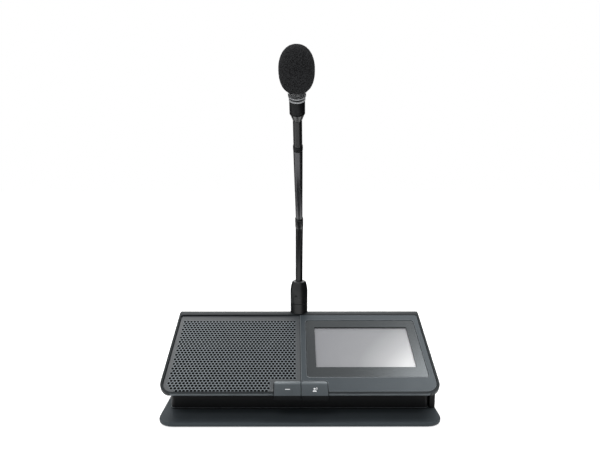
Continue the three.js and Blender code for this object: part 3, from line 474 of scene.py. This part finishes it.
def makeGrille():
    mesh = bmesh.new()
    cell = holeCell()
    for u, v in grillePlaces():
        start = len(mesh.verts)
        mesh.from_mesh(cell)
        mesh.verts.ensure_lookup_table()
        bmesh.ops.translate(mesh, vec=(u * mm, v * mm, 0), verts=mesh.verts[start:])
    bmesh.ops.remove_doubles(mesh, verts=mesh.verts, dist=0.05 * mm)
    # the lattice's own outer line: its edges are longer than a hole's
    outer = [edge for edge in mesh.edges if edge.is_boundary and edge.calc_length() > grille["holeSide"] * mm]
    outlineFace(mesh, grille["outline"])
    whole = max(mesh.faces, key=lambda f: f.calc_area())
    frameEdges = list(whole.edges)
    bmesh.ops.delete(mesh, geom=[whole], context="FACES_ONLY")
    bmesh.ops.triangle_fill(mesh, use_beauty=True, use_dissolve=False, edges=outer + frameEdges)
    bmesh.ops.recalc_face_normals(mesh, faces=mesh.faces)
    if sum(f.normal.z for f in mesh.faces) < 0:
        bmesh.ops.reverse_faces(mesh, faces=mesh.faces)
    bmesh.ops.solidify(mesh, geom=mesh.faces[:], thickness=grille["thickness"] * mm)
    lift = -max(v.co.z for v in mesh.verts)
    bmesh.ops.translate(mesh, vec=(0, 0, lift), verts=mesh.verts)
    rim = [edge for edge in mesh.edges if edge.is_manifold and edge.calc_face_angle(0) > 1
           and all(v.co.z > -0.01 * mm and onSheetEdge(v.co / mm) for v in edge.verts)]
    bmesh.ops.bevel(mesh, geom=rim, offset=grille["edge"] * mm, offset_type="OFFSET", segments=3,
                    profile=0.5, affect="EDGES", clamp_overlap=True, material=-1)
    return mesh


def onSheetEdge(place):
    # on the sheet's own outline, clear of the field of holes
    band, corner = grille["rimBand"], grille["corner"]
    away = Vector((place.x - sheetLow.x - corner, place.y - corner))
    besideNotch = place.x > notchLow.x - grille["notchSide"] and place.y < notchHigh.y + grille["notchBack"]
    return (place.x < sheetLow.x + band or place.x > sheetHigh.x - band or place.y > sheetHigh.y - band
            or place.y < grille["frontBand"] or besideNotch
            or (away.x < 0 and away.y < 0 and away.length > corner - band))


# the grille sheet is a lighter copy of the panel plastic: painted light on the left panel
grilleLitPlastic = surface("grillePaintedLight", grey(62, 66, 69), 0.4, grain=0.22, depth=0.004)
# near-black for the hole walls: painted shade
holePaintedShade = surface("holePaintedShade", grey(5, 5, 6), 0.8, specular=0.05, grain=0.2, depth=0.002)
grillePlate = finishPiece("grillePlate", makeGrille(), "console", "panel_plastic", grilleLitPlastic, deckMatrix)
# a lighter copy of the panel plastic for the web: a painted highlight
webPaintedHighlight = surface("webPaintedHighlight", grey(116, 122, 126), 0.36, grain=0.22, depth=0.003, tint=coolGloss)
holeShadeIndex = addFinish(grillePlate, holePaintedShade)
for face in grillePlate.data.polygons:  # the walls of the holes are painted black: painted shade inside the holes
    upright = abs((toDeck.to_3x3() @ face.normal).z) < 0.5
    if upright and not onSheetEdge(toDeck @ face.center / mm):
        face.material_index = holeShadeIndex
# the sheet's rounded outer edges are painted lighter: a painted highlight
secondFinish(grillePlate, edgePaintedHighlight, lambda place, aim: sloping(aim) and onSheetEdge(place))
webHighlightIndex = addFinish(grillePlate, webPaintedHighlight)
for face in grillePlate.data.polygons:  # the web between the holes is painted lighter than the plain border: a painted highlight
    if face.material_index == 0 and len(face.vertices) == 4 and face.normal.z > 0.5:
        face.material_index = webHighlightIndex
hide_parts("grille_plate")
print("grille made")

screen = {"left": 15.8, "right": 111.6, "front": 29.3, "back": 84.0,
          "rampLeft": 16, "rampWidth": 95, "rampBack": 83, "rampDepth": 54}


def glassMaterial():
    material = surface("touchGlass", grey(9, 11, 12), 0.24, specular=0.8, grain=30, depth=0, tone=0.03,
                       roughDrift=0.01, tint=(0.86, 0.94, 0.98))
    tree = material.node_tree
    shader = tree.nodes["Principled BSDF"]
    across, up = placesIn(tree, deckMatrix)[:2]
    inside = across.above(screen["left"]) * across.below(screen["right"]) \
        * up.above(screen["front"]) * up.below(screen["back"])
    tree.links.new((1 - inside).socket, shader.inputs["Alpha"])
    return material


def displayMaterial():
    material = surface("displayFace", grey(150, 151, 155), 0.2, specular=0.5, grain=40, depth=0, tone=0.01)
    tree = material.node_tree
    shader = tree.nodes["Principled BSDF"]
    across, up = placesIn(tree, deckMatrix)[:2]
    right = ((across - screen["rampLeft"]) / screen["rampWidth"]).clamped()
    low = ((screen["rampBack"] - up) / screen["rampDepth"]).clamped()
    paintedReflection = (right * 0.55 + right * low * 0.6).clamped()  # a painted reflection, brightest at the lower right
    stops = [(0.0, grey(146, 147, 151)), (0.45, grey(160, 161, 164)), (0.75, grey(192, 193, 195)),
             (1.0, grey(226, 227, 228))]
    ramp = addNode(tree, "ShaderNodeValToRGB", {"stops": stops}, {0: paintedReflection})
    tree.links.new(ramp.socket, shader.inputs["Base Color"])
    return material


finishes["touch_glass"] = glassMaterial()
finishes["display_face"] = displayMaterial()
touchGlass = shellFrom("touch_glass", "touchGlass", "console", "touch_glass", 0.35, 3)
# the glass's right and front bevels are painted light: a painted highlight
glassEdgeHighlight = surface("glassEdgeHighlight", grey(176, 180, 184), 0.3, grain=0.2, depth=0.002, tone=0.03)
secondFinish(touchGlass, glassEdgeHighlight, lambda place, aim: sloping(aim) and (aim.x > 0.3 or aim.y < -0.3))
print("glass made")


markInk = surface("markInk", grey(226, 228, 230), 0.5, grain=0.1, depth=0.001, tone=0.04)
marks = {
    "underside": 1.5, "thickness": 0.05, "dash": [(-13.6, 0.7), (-9.1, 1.5)],
    "head": (13.2, 1.7, 1.0),  # centre and radius
    "shoulders": (13.2, -1.65, -0.05, 1.75),  # middle, low, high and half the width
    "wave": (13.2, 2.0, 1.95, 2.5), "waveTurns": (-34, -17, 0, 17, 34),  # centre, two radii and the bend
}


def flatMark(name, body, build):
    mesh = bmesh.new()
    build(mesh)
    bmesh.ops.solidify(mesh, geom=mesh.faces[:], thickness=marks["thickness"] * mm)
    low = min(v.co.z for v in mesh.verts)
    bmesh.ops.translate(mesh, vec=(0, 0, marks["underside"] * mm - low), verts=mesh.verts)
    finishPiece(name, mesh, body, "button_plastic", markInk, deckMatrix, smooth=20)


def dashMark(mesh):
    (left, low), (right, high) = marks["dash"]
    outlineFace(mesh, [(left, low, 0.2), (right, low, 0.2), (right, high, 0.2), (left, high, 0.2)], 3)


def disc(mesh, x, y, radius):
    made = bmesh.ops.create_circle(mesh, cap_ends=True, segments=20, radius=radius * mm)
    bmesh.ops.translate(mesh, vec=(x * mm, y * mm, 0), verts=made["verts"])


def talkMark(mesh):
    x, y, radius = marks["head"]
    disc(mesh, x, y, radius)
    x, low, high, half = marks["shoulders"]
    outlineFace(mesh, [(x - half, low, 0.15), (x + half, low, 0.15),
                       (x + half, high, 1.1), (x - half, high, 1.1)], 5)
    x, y, inner, outer = marks["wave"]  # a bent bar beside the head
    turns = [math.radians(angle) for angle in marks["waveTurns"]]
    far = [(x + outer * math.cos(turn), y + outer * math.sin(turn), 0) for turn in turns]
    near = [(x + inner * math.cos(turn), y + inner * math.sin(turn), 0) for turn in reversed(turns)]
    outlineFace(mesh, far + near)


flatMark("muteMark", "mute_button", dashMark)
flatMark("talkMark", "speak_button", talkMark)
print("marks made")

sleeveShape = {"radius": 9.4, "top": 7.0, "height": 34.8, "taper": 10.7, "groove": 10.6, "lockHeight": 19.6,
               "lockSide": 21, "lockRadius": 1.25, "lockDepth": 3.3, "lockRim": 0.15, "lockReach": 2}


def drillLock(mesh):
    # the blind hole of the lock screw, square into the sleeve's side
    s = sleeveShape
    turn = math.radians(270 - s["lockSide"])
    inward = Vector((-math.cos(turn), -math.sin(turn), 0))
    side = Vector((0, 0, 1)).cross(inward)
    middle = Vector((0, 0, s["lockHeight"] * mm)) - inward * s["radius"] * mm

    def offset(place):
        away = place - middle
        return Vector((away.dot(side), away.z))

    inside = [face for face in mesh.faces
              if (face.calc_center_median() - middle).dot(inward) < s["lockReach"] * mm
              and offset(face.calc_center_median()).length < (s["lockRadius"] - s["lockRim"]) * mm]
    bmesh.ops.delete(mesh, geom=inside, context="FACES")
    rim = [edge for edge in mesh.edges if edge.is_boundary]
    for vert in {v for edge in rim for v in edge.verts}:
        away = offset(vert.co)
        away *= s["lockRadius"] * mm / away.length
        depth = s["radius"] * mm - math.sqrt((s["radius"] * mm) ** 2 - away.x ** 2)
        vert.co = middle + side * away.x + Vector((0, 0, away.y)) + inward * depth
    grown = bmesh.ops.extrude_edge_only(mesh, edges=rim)
    for vert in [item for item in grown["geom"] if isinstance(item, bmesh.types.BMVert)]:
        vert.co += inward * (s["lockDepth"] * mm - (vert.co - middle).dot(inward))
    bmesh.ops.holes_fill(mesh, edges=[edge for edge in mesh.edges if edge.is_boundary], sides=0)


def makeSleeve():
    s = sleeveShape
    start = s["height"] - s["taper"]
    bullet = []
    for i in range(13):
        up = i / 12
        drawn = 0.85 * up ** 1.55 + 0.15 * up ** 10
        bullet.append((s["radius"] - (s["radius"] - s["top"]) * drawn, start + s["taper"] * up))
    beside = [(s["radius"], s["lockHeight"] + step * 0.45) for step in range(-4, 5)]
    profile = [(0, 10), (6.3, 10), (6.3, 0), (s["radius"] - 0.25, 0), (s["radius"], 0.25),
               (s["radius"], s["groove"] - 0.4), (s["radius"] - 0.45, s["groove"] - 0.1),
               (s["radius"] - 0.45, s["groove"] + 0.2), (s["radius"], s["groove"] + 0.5), *beside,
               *bullet[:-1], (s["top"] - 0.05, s["height"] - 0.3), (s["top"] - 0.7, s["height"]),
               (4.1, s["height"] + 0.1), (3.95, s["height"] + 1.2), (0, s["height"] + 2)]
    turnedPiece("connectorSleeve", profile, "console", "sleeve_metal", sleeveMatrix,
                ["connector_sleeve"], 120, shape=drillLock)


makeSleeve()

collarProfile = [(0, 1.9), (3.5, 1.9), (3.85, 2.2), (4.1, 3.2), (4.1, 14.0), (3.95, 14.7), (3.7, 15), (0, 15)]
turnedPiece("collar", collarProfile, "stem", "sleeve_metal", stemMatrix, ["collar"], 64)
tubeProfile = [(2.2, 15.3), (3.45, 15.3), (4.15, 102.1), (2.2, 102.1), (2.2, 15.3)]
turnedPiece("stemTube", tubeProfile, "stem", "tube_metal", stemMatrix, ["stem_tube"], 64, 0.12)
ringProfile = [(0, 102.4), (3.9, 102.4), (4.2, 102.55), (4.35, 102.95), (4.35, 106.8), (4.25, 107.1),
               (4.05, 107.3), (3.9, 107.35), (0, 108.2)]
turnedPiece("stemRing", ringProfile, "stem", "black_plastic", stemMatrix, ["stem_ring"], 64)

flexible = {"radius": 3.9, "rings": 8, "sides": 32}


def bezierPoint(start, control, end, t):
    return start * (1 - t) ** 2 + control * (2 * t * (1 - t)) + end * t ** 2


def bezierAim(start, control, end, t):
    return ((control - start) * (1 - t) + (end - control) * t).normalized()


def sheath(name, start, control, end, node):
    # one bend of the smooth sheath, from the middle of one link to the middle of the next
    mesh = bmesh.new()
    made = bmesh.ops.create_circle(mesh, cap_ends=True, segments=flexible["sides"],
                                   radius=flexible["radius"] * mm)
    ring = made["verts"]
    before = Matrix.Identity(4)
    up = Vector((0, 0, 1))
    first = True
    for i in range(flexible["rings"] + 1):
        t = i / flexible["rings"]
        turn = up.rotation_difference(bezierAim(start, control, end, t)).to_matrix().to_4x4()
        now = Matrix.Translation(bezierPoint(start, control, end, t)) @ turn
        if not first:
            edges = [e for e in mesh.edges if e.verts[0] in ring and e.verts[1] in ring]
            grown = bmesh.ops.extrude_edge_only(mesh, edges=edges)
            ring = [g for g in grown["geom"] if isinstance(g, bmesh.types.BMVert)]
        bmesh.ops.transform(mesh, matrix=now @ before.inverted(), verts=ring)
        before = now
        first = False
    edges = [e for e in mesh.edges if e.verts[0] in ring and e.verts[1] in ring]
    bmesh.ops.edgeloop_fill(mesh, edges=edges)
    piece = finishPiece(name, mesh, None, "link_coat")
    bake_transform(piece)
    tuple(start)
    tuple(end)
    if node:
        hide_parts(node)


def makeSection(prefix, title, hinges, startPlace, endPlace):
    names = [f"{prefix}_{'bend' if i % 2 == 0 else 'sway'}_{i // 2 + 1}" for i in range(hinges)]
    places = [hingePlace(name) for name in names]
    middles = [(a + b) / 2 for a, b in zip(places, places[1:])]
    stations = [startPlace, *middles, endPlace]
    for i, control in enumerate(places):
        node = f"{prefix}_link_{i + 1}" if i < hinges - 1 else None
        sheath(f"{title}{i + 1}", stations[i], control, stations[i + 1], node)


lowerStart = Vector((0, stemAxis.y, hingePlace("lower_bend_1").z - 1.5 * mm))
makeSection("lower", "lowerSheath", 8, lowerStart, stemMatrix @ Vector((0, 0, 1.7 * mm)))
upperStart = stemMatrix @ Vector((0, 0, 107.3 * mm))
makeSection("upper", "upperSheath", 4, upperStart, headMatrix @ Vector((0, 0, 1.9 * mm)))
print("gooseneck made")

coneProfile = [(0, 1.9), (3.75, 1.9), (3.95, 2.2), (6.2, 8.3), (6.45, 8.55), (6.4, 8.8), (0, 8.8)]
turnedPiece("headCone", coneProfile, "head", "sleeve_metal", headMatrix, ["head_cone"], 64)
housingProfile = [(0, 9.1), (6.0, 9.1), (6.3, 9.25), (6.45, 9.6), (6.45, 19.7), (6.3, 20.05),
                  (6.0, 20.2), (0, 20.2)]
turnedPiece("headHousing", housingProfile, "head", "black_plastic", headMatrix, ["head_housing"], 64)


def ringMaterial(name, tone, roughness, solid):
    material = surface(name, grey(tone, tone + 2, tone + 4), roughness, grain=0.6, depth=0, tone=0.02)
    material.node_tree.nodes["Principled BSDF"].inputs["Alpha"].default_value = solid
    return material


finishes["light_ring"] = ringMaterial("clearRing", 112, 0.35, 0.3)
# a light, opaque copy of the ring: a painted highlight on the lower ring and on the clear ring's foot
ringHighlight = ringMaterial("paintedRingHighlight", 168, 0.45, 1.0)
ringLow = [(4.4, 20.5), (6.6, 20.5), (6.8, 20.7), (6.8, 21.8), (6.6, 22.0), (4.4, 22.0), (4.4, 20.5)]
turnedPiece("lightRingLower", ringLow, "head", "light_ring", headMatrix, ["light_ring_lower"], 64,
            material=ringHighlight)
spacerProfile = [(4.4, 22.3), (6.45, 22.3), (6.55, 22.4), (6.55, 23.2), (6.45, 23.3), (4.4, 23.3),
                 (4.4, 22.3)]
turnedPiece("lightRingSpacer", spacerProfile, "head", "black_plastic", headMatrix, ["light_ring_spacer"], 64)
ringHigh = [(5.7, 23.6), (7.0, 23.6), (7.2, 23.8), (7.32, 24.7), (7.85, 29.8), (7.7, 30.0), (5.7, 30.0),
            (5.7, 23.6)]
highlightTop = 24.8  # the foot of the clear ring is painted light up to here: a painted highlight
upperRing = turnedPiece("lightRingUpper", ringHigh, "head", "light_ring", headMatrix,
                        ["light_ring_upper"], 64)
highlightIndex = addFinish(upperRing, ringHighlight)
for face in upperRing.data.polygons:
    if (headMatrix.inverted() @ face.center).z < highlightTop * mm:
        face.material_index = highlightIndex
plainDark = surface("plainDark", grey(14, 14, 15), 0.5, specular=0.3, grain=0.1, depth=0)
# the dark barrel seen through the clear ring
ringCore = [(4.6, 23.5), (5.6, 23.5), (5.6, 30.1), (4.6, 30.1), (4.6, 23.5)]
turnedPiece("ringCore", ringCore, "head", "black_plastic", headMatrix, (), 48, material=plainDark)
print("head made")

foam = {"radius": 14.2, "half": 19.7, "drop": 15.25, "full": 2.25, "bottom": 30.2, "bore": 5.5,
        "boreDepth": 13.4, "tuckFrom": 12.0, "tuck": 0.04, "body": 0.992, "lumps": ((15, 0.008), (32, 0.006)),
        "cell": 0.75, "cellDepth": 0.35}


def foamMaterial():
    material = surface("windscreenFoam", grey(34, 34, 36), 1.0, specular=0.1, grain=0.5, depth=0.0, tone=0.25,
                       roughDrift=0)
    tree = material.node_tree
    shader = tree.nodes["Principled BSDF"]
    where = objectPlace(tree)
    cells = addNode(tree, "ShaderNodeTexVoronoi", {"feature": "F1"},
                    {"Vector": where, "Scale": 1 / (foam["cell"] * mm)})
    coarse = noiseOf(tree, where, 0.5, 3.0, 0.7)
    height = cells * 0.7 + coarse * 0.8
    bump = addNode(tree, "ShaderNodeBump", {},
                   {"Strength": 1.0, "Distance": foam["cellDepth"] * mm, "Height": height})
    tree.links.new(bump.socket, shader.inputs["Normal"])
    pores = (cells * 1.5).clamped()
    colour = mixed(tree, pores, grey(72, 73, 75), grey(30, 30, 31))
    tree.links.new(colour.socket, shader.inputs["Base Color"])
    return material


finishes["windscreen_foam"] = foamMaterial()


def makeFoam():
    mesh = bmesh.new()
    bmesh.ops.create_icosphere(mesh, subdivisions=7, radius=1)
    power = 2 / foam["full"]
    for vert in mesh.verts:
        pore = sum(noise.noise(vert.co * often) * deep for often, deep in foam["lumps"])
        around = max(1e-6, math.hypot(vert.co.x, vert.co.y))
        wide = around ** (power - 1)
        tall = math.copysign(abs(vert.co.z) ** power, vert.co.z)
        vert.co = Vector((vert.co.x * wide, vert.co.y * wide, tall)) * (foam["body"] + pore)
    bmesh.ops.scale(mesh, vec=(foam["radius"] * mm, foam["radius"] * mm, foam["half"] * mm), verts=mesh.verts)
    for vert in mesh.verts:  # the foam draws in to its opening
        below = (-vert.co.z / mm - foam["tuckFrom"]) / (foam["drop"] - foam["tuckFrom"])
        if below > 0:
            vert.co.xy *= 1 - foam["tuck"] * min(1.2, below) ** 2
    cutAt = -foam["drop"] * mm
    made = bmesh.ops.bisect_plane(mesh, geom=mesh.verts[:] + mesh.edges[:] + mesh.faces[:], dist=weld,
                                  plane_co=(0, 0, cutAt), plane_no=(0, 0, -1), clear_outer=True)
    rim = [item for item in made["geom_cut"] if isinstance(item, bmesh.types.BMEdge)]
    for depth, radius in ((0, foam["bore"]), (foam["boreDepth"], foam["bore"])):
        grown = bmesh.ops.extrude_edge_only(mesh, edges=rim)
        rim = [item for item in grown["geom"] if isinstance(item, bmesh.types.BMEdge) and item.is_boundary]
        for vert in {v for edge in rim for v in edge.verts}:
            flat = Vector((vert.co.x, vert.co.y, 0)).normalized() * radius * mm
            vert.co = Vector((flat.x, flat.y, cutAt + depth * mm))
    bmesh.ops.holes_fill(mesh, edges=rim, sides=0)
    bmesh.ops.translate(mesh, vec=(0, 0, (foam["bottom"] + foam["drop"]) * mm), verts=mesh.verts)
    piece = finishPiece("foamWindscreen", mesh, "head", "windscreen_foam", matrix=headMatrix, smooth=60)
    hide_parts("foam_windscreen")


makeFoam()
print("foam made")


def clothMaterial():
    material = surface("speakerCloth", grey(9, 9, 10), 0.95, specular=0.05, grain=0.3, depth=0.02, tone=0.2)
    tree = material.node_tree
    shader = tree.nodes["Principled BSDF"]
    where = objectPlace(tree)
    weave = addNode(tree, "ShaderNodeTexWave", {"wave_type": "BANDS", "bands_direction": "X"},
                    {"Vector": where, "Scale": 1 / (4 * mm), "Distortion": 0.4})
    weft = addNode(tree, "ShaderNodeTexWave", {"wave_type": "BANDS", "bands_direction": "Y"},
                   {"Vector": where, "Scale": 1 / (4 * mm), "Distortion": 0.4})
    bump = addNode(tree, "ShaderNodeBump", {}, {"Distance": 0.05 * mm, "Height": weave + weft})
    tree.links.new(bump.socket, shader.inputs["Normal"])
    return material


finishes["speaker_cloth"] = clothMaterial()
slotOf = {part["node"]: part["material_slot"] for part in frame["record"]["subparts"]}
for name, node in nodes.items():
    dark = name in ("lock_screw", "microphone_capsule")
    node.data.materials.clear()
    node.data.materials.append(plainDark if dark else finishes[slotOf[name]])
    if name.startswith(("foot_", "case_screw", "lock_screw", "speaker_", "gooseneck", "microphone")):
        node.data.shade_smooth()
        node.data.set_sharp_from_angle(angle=math.radians(35))
print("carried nodes painted")

stage = {"floor": 6.0, "floorTone": 0.9, "glow": 0.7, "sky": 0.42}


def whereSeen(tree):
    # 1 for rays that show the white surroundings, 0 for rays that light the object
    rays = addNode(tree, "ShaderNodeLightPath").socket.node
    kinds = ("Is Camera Ray", "Is Glossy Ray", "Is Transmission Ray")
    first, second, third = [Wire(tree, rays.outputs[kind]) for kind in kinds]
    return (first + second + third).clamped()


def stagePlane(name, material, across, deep):
    mesh = bmesh.new()
    bmesh.ops.create_grid(mesh, x_segments=1, y_segments=1, size=0.5)
    bmesh.ops.scale(mesh, vec=(across, deep, 1), verts=mesh.verts)
    data = bpy.data.meshes.new(name)
    mesh.to_mesh(data)
    mesh.free()
    plane = bpy.data.objects.new(name, data)
    bpy.context.scene.collection.objects.link(plane)
    data.materials.append(material)
    return plane


def floorMaterial():
    material = bpy.data.materials.new("paleFloor")
    material.use_nodes = True
    tree = material.node_tree
    tree.nodes.remove(tree.nodes["Principled BSDF"])
    plain = addNode(tree, "ShaderNodeBsdfDiffuse", {}, {"Color": (stage["floorTone"],) * 3 + (1,)})
    seen = whereSeen(tree) * stage["glow"]
    glow = addNode(tree, "ShaderNodeEmission", {}, {"Color": (1, 1, 1, 1), "Strength": seen})
    both = addNode(tree, "ShaderNodeAddShader", {}, {0: plain, 1: glow})
    tree.links.new(both.socket, tree.nodes["Material Output"].inputs["Surface"])
    return material


stagePlane("floor", floorMaterial(), 2 * stage["floor"], 2 * stage["floor"])

# dark cards beside the set, seen by gloss and transmission only: they draw the dark edges of tube and sleeve
cards = {
    "rightCard": {"at": (0.66, 0.1, 0.45), "size": (2.6, 0.9), "turn": (90, 0, 90)},
    "rightFloorCard": {"at": (0.41, 0.1, 0.004), "size": (0.48, 2.2), "turn": (0, 0, 0)},
    "leftCard": {"at": (-0.66, 0.75, 0.4), "size": (1.1, 0.8), "turn": (90, 0, 90)},
    "leftFloorCard": {"at": (-0.41, 0.6, 0.004), "size": (0.48, 0.9), "turn": (0, 0, 0)},
}
cardBlack = surface("cardBlack", grey(20, 20, 20), 0.9, specular=0.1, grain=5, depth=0)
for name, card in cards.items():
    plane = stagePlane(name, cardBlack, *card["size"])
    plane.location = card["at"]
    plane.rotation_euler = [math.radians(angle) for angle in card["turn"]]
    plane.visible_camera = False
    plane.visible_diffuse = False
    plane.visible_shadow = False

world = bpy.data.worlds.new("studio")
bpy.context.scene.world = world
world.use_nodes = True
background = world.node_tree.nodes["Background"]
strength = whereSeen(world.node_tree) * (1 - stage["sky"]) + stage["sky"]
world.node_tree.links.new(strength.socket, background.inputs["Strength"])
background.inputs["Color"].default_value = (1, 1, 1, 1)

# soft boxes: place, width and depth in metres, and how bright they look
lamps = {
    "leftBox": {"at": (-0.62, 0.4, 1.1), "size": (0.6, 0.6), "bright": 3.0},
    "frontBox": {"at": (-0.36, -0.62, 1.15), "size": (0.5, 0.4), "bright": 5.0},
    "rightBox": {"at": (0.58, 0.2, 1.2), "size": (0.44, 0.5), "bright": 6.5},
    "backStrip": {"at": (-0.05, 1.25, 1.2), "size": (1.2, 0.45), "bright": 5.0},
}
for name, lamp in lamps.items():
    light = bpy.data.lights.new(name, "AREA")
    light.shape = "RECTANGLE"
    light.size, light.size_y = lamp["size"]
    light.energy = lamp["bright"] * math.pi * light.size * light.size_y
    holder = bpy.data.objects.new(name, light)
    holder.location = lamp["at"]
    holder.rotation_euler = (Vector(lamp["at"]) - Vector((0, 0, 0.08))).to_track_quat("Z", "Y").to_euler()
    bpy.context.scene.collection.objects.link(holder)

view = {"lens": 30.08, "pitch": 7.0, "yaw": 0.1, "shift": 0.0084, "at": (-5.35, -476.07, 223.9)}
camera = bpy.data.cameras.new("camera")
camera.lens = view["lens"]
camera.sensor_width = 36
camera.sensor_fit = "HORIZONTAL"
camera.shift_x = view["shift"]
cameraHolder = bpy.data.objects.new("camera", camera)
cameraHolder.location = [v * mm for v in view["at"]]
cameraHolder.rotation_euler = (math.radians(90 - view["pitch"]), 0, math.radians(-view["yaw"]))
bpy.context.scene.collection.objects.link(cameraHolder)
bpy.context.scene.camera = cameraHolder
bpy.context.scene.view_settings.view_transform = "Standard"
print("stage made")
